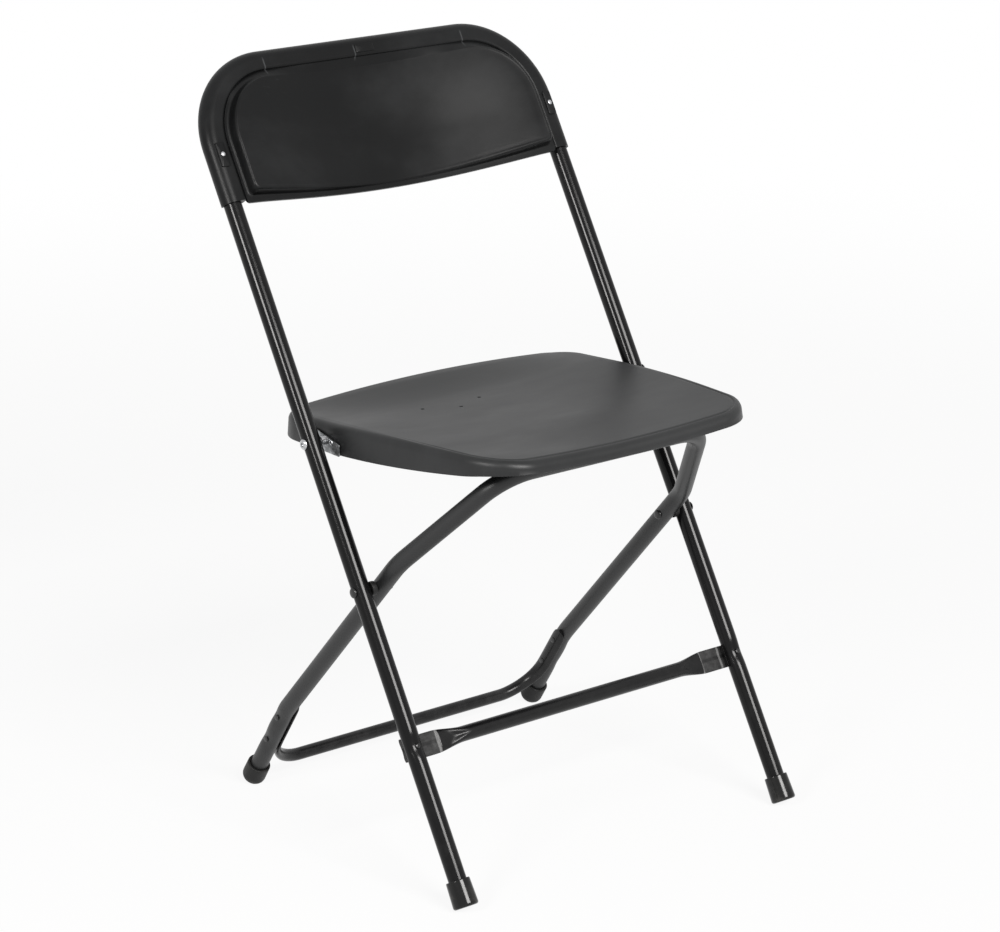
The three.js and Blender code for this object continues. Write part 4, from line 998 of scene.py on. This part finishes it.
# Rings drawn in towards the middle of a face, each settled on the panel's curve.
def panelFill(ring, back, startShare, steps=34):
    middle = np.array([0, 0, (frontSizes["top"] + backSizes["panelBottom"]) / 2])
    t = np.linspace(0, 1, steps + 1)[1:, None, None]
    fill = ring + (middle - ring) * t
    share = np.minimum(1, startShare + t[..., 0] * 2)
    fill[..., 1] = back - forwardAt(fill[..., 0], fill[..., 2], share)
    return fill


# Closed panel: the rear face from its middle out to the edge, then the front face back to the middle.
def backPanel():
    thick = backSizes["panelThick"]
    rear = np.array([panelRing(shares, thick) for shares in smoothRows(rearFace, 5)])
    front = np.array([panelRing(shares, 0) for shares in smoothRows(frontFace, 5)])
    underFill = panelFill(rear[0], thick, rearFace[0][2])[::-1]
    topFill = panelFill(front[-1], 0, frontFace[-1][2])
    return np.concatenate([underFill, rear, front, topFill])


# Rim: an open section carried along the tube, its outer line paired point by point with its inner line.
def backRim():
    sizes = backSizes
    r, shoulder = sizes["rimOuter"], sizes["shoulder"]
    outer = np.concatenate([
        arc((0, 0), (r, -r), -25, 90, 26),
        arc((shoulder - r, shoulder - r), (shoulder, -shoulder), 90, 180, 8),
        arc((0, 0), (r, -r), 180, 200, 4)[1:],
    ])
    run = np.append(0, np.cumsum(np.linalg.norm(np.diff(outer, axis=0), axis=1)))
    even = np.linspace(0, run[-1], 64)
    outer = np.stack([np.interp(even, run, outer[:, 0]), np.interp(even, run, outer[:, 1])], -1)
    inner = arc((0, 0), (sizes["rimInner"], -sizes["rimInner"]), -25, 200, 63)
    pieces, total = pathPieces(frontPath(sizes["rimBottom"]))
    place, direction = alongPath(pieces, stepsAlong(total, 4))
    side = np.stack([-direction[:, 2], 0 * direction[:, 0], direction[:, 0]], -1)
    over = np.broadcast_to(yAxis, side.shape)
    loop = np.concatenate([outer, inner[::-1]])
    body = carry(place, side, over, loop)
    ends = [np.stack([body[i, :64], body[i, :63:-1]]) for i in (0, -1)]
    return [body] + [(end, False, False) for end in ends]


# A thin rib at one place: a bar with narrowed corners whose near and far edges follow two curves. The
# order says which of across, along and depth lies on X, Y and Z.
def ribGrid(at, along, near, far, thick, order):
    ring = np.array([
        (-1, -0.94), (-0.9, -1), (0.9, -1), (1, -0.94), (1, 0.94), (0.9, 1), (-0.9, 1), (-1, 0.94)
    ])
    middle, reach = (near + far) / 2, (far - near) / 2
    depth = middle[:, None] + reach[:, None] * ring[:, 1]
    lines = {
        "across": at + ring[:, 0] * thick / 2 + 0 * depth,
        "along": along[:, None] + 0 * depth,
        "depth": depth,
    }
    return closedEnds(np.stack([lines[word] for word in order], -1))


# Upright ribs behind the panel. Depth: panel + rib depth * sqrt(distance from the rib's end / ease).
def backRibs():
    sizes, grids = backSizes, []
    for x in (-sizes["ribSpacing"], 0, sizes["ribSpacing"]):
        along = np.linspace(*sizes["ribSpan"], 24)
        near = sizes["panelThick"] / 2 - forwardAt(x, along, 1)
        fromEnd = np.minimum(along - along[0], along[-1] - along)
        ease = np.minimum(1, fromEnd / sizes["ribEase"]) ** 0.5
        far = near + sizes["panelThick"] / 2 + sizes["ribDepth"] * ease + 0.2
        grids.append(ribGrid(x, along, near, far, sizes["ribThick"], ("across", "depth", "along")))
    return grids


# Low block standing on the rim's face at (x, along).
def rimBlock(sizes, x, along):
    face, edge = -backSizes["rimOuter"], min(0.6, sizes["proud"] * 0.7)
    top = face - sizes["proud"]
    depth = [(0, face + 1), (0, top + edge), (edge * 0.3, top + edge * 0.3), (edge, top)]
    return pad(sizes["half"], sizes["high"], sizes["corner"] + edge, depth) + (x, 0, along)


half, rivetAt = frontSizes["half"], frontSizes["backRivet"]
bosses = [rimBlock(backSizes["boss"], side * half, rivetAt) for word, side in bothSides]
tab = rimBlock(backSizes["tab"], 0, backSizes["tab"]["middle"])
backGrids = backRim() + [backPanel()] + backRibs() + bosses + [tab]
makePiece("backrest", "front_frame", backGrids, "back_plastic", "backrest_shell", 34)
print("back made")

# Seat: a dished pan with a rolled edge and a drafted skirt, ribbed underneath
seatSizes = {
    "half": 195.1,
    "reach": 252.9,  # front edge ahead of the pivot
    "tail": 98.2,  # rear edge behind the pivot
    "frontHalf": 169.4,
    "taperStart": 7,
    "taperPower": 1.5,
    "frontRadius": 55,
    "backRadius": 40,
    "backBow": 5.5,
    "wall": 3.4,
    "skirtRear": 23.7,
    "skirtFront": 13.9,
    "skirtSwell": 10.9,
    "draft": 1.2,
    "rounding": 8.5,
    "dishInset": 15,
    "crest": 16.2,
    "slope": math.tan(math.radians(4.5)),
    "droop": 6.8,
    "crown": 5.9,
    "crownRun": 76,
    "dip": 7.6,
    "dipRun": 126,
    "dishDepth": 8.5,
    "dishPower": 2.6,
    "waterfallRun": 46,
    "waterfallDrop": 2.2,
    "creaseInset": 11.5,
    "creaseDepth": 0.7,
    "creaseWidth": 1.5,
    "creaseRun": (60, 190),  # how far ahead of the pivot the crease fades in
    "drain": {"radius": 2.1, "run": (-4, 24), "places": ((-74, 0), (-37, -17.5), (0, 0))},
    "rib": {"thick": 2.6, "shy": 2.6, "short": 2.2, "spacing": 45, "count": 5},
    "crossRibs": (-150, -72, 6),
    "saddle": {"half": 17, "thick": 11, "rise": 4},
    "crossTube": (-206.4, -1.2, 9.8),  # along Y and up from the seat's pivot, and radius with clearance
    "neck": {"radius": 11.1, "run": (-40, 190), "line": ((188, 116.4, -16.9), (127.35, -25.3, -25.3))},
}


# Sides that close in towards the front: x * mix(1, front / rear, share^power); the rear edge swells out.
def seatPlan(x, y):
    sizes = seatSizes
    close = np.clip((-sizes["taperStart"] - y) / (sizes["reach"] - sizes["taperStart"]), 0, 1)
    rear = smoothstep(y, sizes["tail"] - sizes["crownRun"], sizes["tail"])
    narrow = mix(1, sizes["frontHalf"] / sizes["half"], close ** sizes["taperPower"])
    return x * narrow, y + sizes["backBow"] * rear * (1 - (x / sizes["half"]) ** 2)


# Height of the seat's edge: slope and droop towards the front, crown at the rear, dip at the front.
def crest(x, y):
    sizes = seatSizes
    middle = 1 - np.minimum(1, (x / sizes["frontHalf"]) ** 2)
    crown = sizes["crown"] * smoothstep(y, sizes["tail"] - sizes["crownRun"], sizes["tail"])
    dip = sizes["dip"] * smoothstep(-y, sizes["reach"] - sizes["dipRun"], sizes["reach"])
    droop = sizes["droop"] * (np.minimum(0, y) / sizes["reach"]) ** 2
    return sizes["crest"] - y * sizes["slope"] - droop + middle * (crown - dip)


# Crest less the front waterfall and the dish: depth * (1 - |x|^p) * (1 - |y|^p) of the shares out.
def seatTop(x, y):
    sizes = seatSizes
    past = np.maximum(0, (sizes["waterfallRun"] - sizes["reach"] - y) / sizes["waterfallRun"])
    across = 1 - np.minimum(1, np.abs(x) / (sizes["half"] - sizes["dishInset"])) ** sizes["dishPower"]
    middle = (sizes["tail"] - sizes["reach"]) / 2
    reach = (sizes["tail"] + sizes["reach"]) / 2 - sizes["dishInset"]
    lengthwise = 1 - np.minimum(1, np.abs(y - middle) / reach) ** sizes["dishPower"]
    return crest(x, y) - sizes["waterfallDrop"] * past**2 - sizes["dishDepth"] * across * lengthwise


# Lower edge of the skirt: crest less a depth that runs from rear to front and swells halfway.
def skirtFoot(x, y):
    sizes = seatSizes
    share = np.clip((sizes["tail"] - y) / (sizes["tail"] + sizes["reach"]), 0, 1)
    swell = sizes["skirtSwell"] * 4 * share * (1 - share)
    return crest(x, y) - mix(sizes["skirtRear"], sizes["skirtFront"], share) - swell


# Outline of the seat drawn in by an inset, at a drop below a height.
def seatRing(inset, height, drop=0):
    sizes = seatSizes
    flat = roundedOutline(
        sizes["half"] - inset, inset - sizes["reach"], sizes["tail"] - inset,
        max(1, sizes["frontRadius"] - inset), max(1, sizes["backRadius"] - inset), 26, 36,
    )
    x, y = seatPlan(flat[:, 0], flat[:, 1])
    return np.stack([x, y, height(x, y) - drop], -1)


# Ring of the seat's top, with the shallow crease along its front: depth * exp(-(distance / width)^2).
def creasedRing(inset):
    sizes = seatSizes
    groove = sizes["creaseDepth"] * math.exp(-(((inset - sizes["creaseInset"]) / sizes["creaseWidth"]) ** 2))
    ring = seatRing(inset, seatTop)
    ring[:, 2] -= groove * smoothstep(-ring[:, 1], *sizes["creaseRun"])
    return ring


# Rings drawn in towards the middle of the seat, each settled on the surface.
def seatFill(ring, drop, steps=44):
    middle = np.array([0, (seatSizes["tail"] - seatSizes["reach"]) / 2, 0])
    t = np.linspace(0, 1, steps + 1)[1:, None, None]
    fill = ring + (middle - ring) * t
    fill[..., 2] = seatTop(fill[..., 0], fill[..., 1]) - drop
    return fill


# From under the pan out to the skirt's inner wall, round its foot, up outside and over the rolled edge.
def seatPan():
    sizes = seatSizes
    wall, draft, rounding = sizes["wall"], sizes["draft"], sizes["rounding"]
    inner, bend = draft + wall, rounding - wall
    under = [seatRing(inset, seatTop, wall) for inset in np.linspace(sizes["dishInset"], inner + 5.2, 5)]
    for turn in np.radians(np.linspace(75, 15, 5)):
        inset = inner + bend * (1 - math.sin(turn))
        under.append(seatRing(inset, seatTop, wall + bend * (1 - math.cos(turn)) + 0.2))
    under.append(seatRing(inner, seatTop, rounding + 1))
    # Inset and lift round the foot's edge
    lip = ((wall, 0.5), (wall - 0.4, 0.1), (wall - 1, 0), (0.9, 0), (0.3, 0.15), (0, 0.7))
    foot = [seatRing(inset, skirtFoot, -up) for inset, up in lip]
    rolled = []
    for turn in np.radians(np.linspace(0, 90, 13)):
        inset, drop = draft + rounding * (1 - math.cos(turn)), rounding * (1 - math.sin(turn))
        rolled.append(seatRing(inset, seatTop, drop))
    top = [creasedRing(inset) for inset in np.linspace(draft + rounding + 0.4, sizes["dishInset"] + 1, 13)]
    rings = np.array(under + foot + rolled + top)
    return np.concatenate([seatFill(rings[0], wall)[::-1], rings, seatFill(rings[-1], 0)])


# How far the rolled edge falls below the crest at an inset: r - sqrt(r^2 - (r - inset)^2).
def edgeFall(inset):
    sizes = seatSizes
    short = np.clip(sizes["rounding"] - np.maximum(0, inset - sizes["draft"]), 0, sizes["rounding"])
    return sizes["rounding"] - np.sqrt(np.maximum(0, sizes["rounding"] ** 2 - short**2))


# Foot and top of a rib at (x, y), the foot arched over the cross tube: up + sqrt(r^2 - distance^2).
def ribEdges(x, y, foot):
    sizes = seatSizes
    bow = sizes["backBow"] * (1 - (x / sizes["half"]) ** 2)
    inset = np.minimum(y + sizes["reach"], sizes["tail"] + bow - y)
    top = seatTop(x, y) - sizes["wall"] / 2 - edgeFall(inset)
    tubeAt, up, radius = sizes["crossTube"]
    arch = up + np.sqrt(np.maximum(0, radius**2 - (y - tubeAt) ** 2))
    return np.where(np.abs(y - tubeAt) < radius, np.maximum(foot, arch), foot), top


# Ribs along the seat, saddles over the cross tube on all but the middle one, and ribs across.
def seatRibs():
    sizes, rib, saddle = seatSizes, seatSizes["rib"], seatSizes["saddle"]
    tubeAt, up = sizes["crossTube"][:2]
    places = (np.arange(rib["count"]) - (rib["count"] - 1) / 2) * rib["spacing"]
    lengthwise, crosswise = ("across", "along", "depth"), ("along", "across", "depth")
    grids = []
    for x in places:
        bow = sizes["backBow"] * (1 - (x / sizes["half"]) ** 2)
        y = np.linspace(rib["short"] - sizes["reach"], sizes["tail"] + bow - rib["short"], 141)
        foot, top = ribEdges(x, y, skirtFoot(x, y) + rib["shy"])
        grids.append(ribGrid(x, y, foot, top, rib["thick"], lengthwise))
    for x in places[places != 0]:
        y = np.linspace(tubeAt - saddle["half"], tubeAt + saddle["half"], 35)
        foot, top = ribEdges(x, y, up + saddle["rise"] + 0 * y)
        grids.append(ribGrid(x, y, foot, top, saddle["thick"], lengthwise))
    for y in sizes["crossRibs"]:
        x = np.linspace(places[0], places[-1], 61)
        level = np.full_like(x, y)
        foot, top = skirtFoot(x, level) + rib["shy"], seatTop(x, level) - sizes["wall"] / 2
        grids.append(ribGrid(y, x, foot, top, rib["thick"], crosswise))
    return grids


# A cylinder along a direction, from one distance to another.
def rod(place, direction, radius, run, sides):
    low, high = run
    return turned([(0, low), (radius, low), (radius, high), (0, high)], place, direction, sides)


# Takes the drain holes, and the notches for the folded necks, out of the pan with round cutters.
def cutPan(piece):
    drain, neck = seatSizes["drain"], seatSizes["neck"]
    grids = [rod((x, y, 0), zAxis, drain["radius"], drain["run"], 32) for x, y in drain["places"]]
    first, second = np.array(neck["line"])
    for word, side in bothSides:
        mirror = np.array([side, 1, 1])
        grids.append(rod(first * mirror, (second - first) * mirror, neck["radius"], neck["run"], 64))
    cutter = addObject("panCutter", meshFrom("panCutter", "seat", grids, 30))
    cut = piece.modifiers.new("openings", "BOOLEAN")
    cut.operation, cut.solver, cut.object = "DIFFERENCE", "EXACT", cutter
    bpy.context.view_layer.update()
    graph = bpy.context.evaluated_depsgraph_get()
    made = bpy.data.meshes.new_from_object(piece.evaluated_get(graph))
    made.set_sharp_from_angle(angle=math.radians(40))
    piece.modifiers.clear()
    piece.data = made
    bpy.data.objects.remove(cutter)


cutPan(makePiece("seatPan", "seat", [seatPan()], "seat_plastic", "seat_shell", 40))
makePiece("seatRibs", "seat", seatRibs(), "seat_plastic", "seat_shell", 30)
print("seat made")

# Floor, light and camera, in metres
stageSizes = {
    "floorHalf": 14,
    "floorFade": (1.2, 3.2),
    "floorShadow": 0.09,  # how much of the floor's own light the camera sees
    "floorColour": (0.9, 0.9, 0.9, 1),
    "worldLight": 0.17,
}


# Pale floor that keeps a soft shadow near the chair and meets the white background farther out.
def paleFloor():
    finish, place = newFinish("paleFloor")
    away = finish.add("ShaderNodeVectorMath", {"operation": "LENGTH"}, {0: place}, 1)
    near = finish.step(away, *stageSizes["floorFade"][::-1])
    grain = finish.bump(finish.noise(place, 40, 3), 0.0001, 0.2)
    shade = finish.add("ShaderNodeBsdfDiffuse", None, {"Color": stageSizes["floorColour"], "Normal": grain})
    white = finish.add("ShaderNodeEmission", None, {"Color": (1, 1, 1, 1), "Strength": 1.0})
    share = finish.seen() * (1 - near * stageSizes["floorShadow"])
    mixed = finish.add("ShaderNodeMixShader", None, {0: share, 1: shade, 2: white})
    finish.add("ShaderNodeOutputMaterial", None, {"Surface": mixed})
    return finish.owner


reach = stageSizes["floorHalf"]
floorMesh = bpy.data.meshes.new("floor")
floorCorners = [(-reach, -reach, 0), (reach, -reach, 0), (reach, reach, 0), (-reach, reach, 0)]
floorMesh.from_pydata(floorCorners, [], [(0, 1, 2, 3)])
floorMesh.materials.append(paleFloor())
floor = addObject("floor", floorMesh)

# Studio room: even pale light, white where a camera or a glossy surface looks past the floor
studio = Finish(bpy.data.worlds.new("studio"))
bpy.context.scene.world = studio.owner
level = studio.range(studio.seen(), 0, 1, stageSizes["worldLight"], 1)
background = studio.add("ShaderNodeBackground", None, {"Strength": level})
studio.add("ShaderNodeOutputWorld", None, {"Surface": background})


# Matrix of a lamp or camera at a place, looking away from its back direction.
def lookingFrom(right, up, back, place):
    matrix = np.eye(4)
    matrix[:3] = np.stack([right, up, back, place], -1)
    return Matrix(matrix.tolist())


# Soft boxes: place, what they face, width, height and power in watts
softBoxes = {
    "frontBox": {"place": (-0.2, -4.8, 3.75), "faces": (0, 0, 0.4), "size": (2.7, 1.65), "power": 320},
    "leftBox": {"place": (-2.45, -0.72, 1.68), "faces": (0, 0, 0.5), "size": (0.75, 0.5), "power": 36},
}
lampColour = (1.0, 0.985, 0.97)
for name, box in softBoxes.items():
    lamp = bpy.data.lights.new(name, "AREA")
    lamp.shape = "RECTANGLE"
    lamp.size, lamp.size_y = box["size"]
    lamp.energy = box["power"]
    lamp.color = lampColour
    light = addObject(name, lamp)
    back = np.array(box["place"]) - np.array(box["faces"])
    back /= np.linalg.norm(back)
    right = np.cross(zAxis, back)
    right /= np.linalg.norm(right)
    light.matrix_world = lookingFrom(right, np.cross(back, right), back, box["place"])

cameraView = {
    "place": (-2.052235, -2.632317, 1.417001),
    "right": (0.78659901, -0.61745726, -0.00291984),
    "up": (0.18777003, 0.23469623, 0.95376103),
    "back": (-0.58822139, -0.75077574, 0.30055179),
    "lens": 120.025,
    "sensor": 36,
}
camera = addObject("photoCamera", bpy.data.cameras.new("photoCamera"))
camera.data.sensor_fit = "HORIZONTAL"
camera.data.sensor_width = cameraView["sensor"]
camera.data.lens = cameraView["lens"]
camera.data.clip_end = 100
camera.matrix_world = lookingFrom(*(cameraView[key] for key in ("right", "up", "back", "place")))
bpy.context.scene.camera = camera
bpy.context.scene.view_settings.view_transform = "Standard"
print("floor, light and camera set")
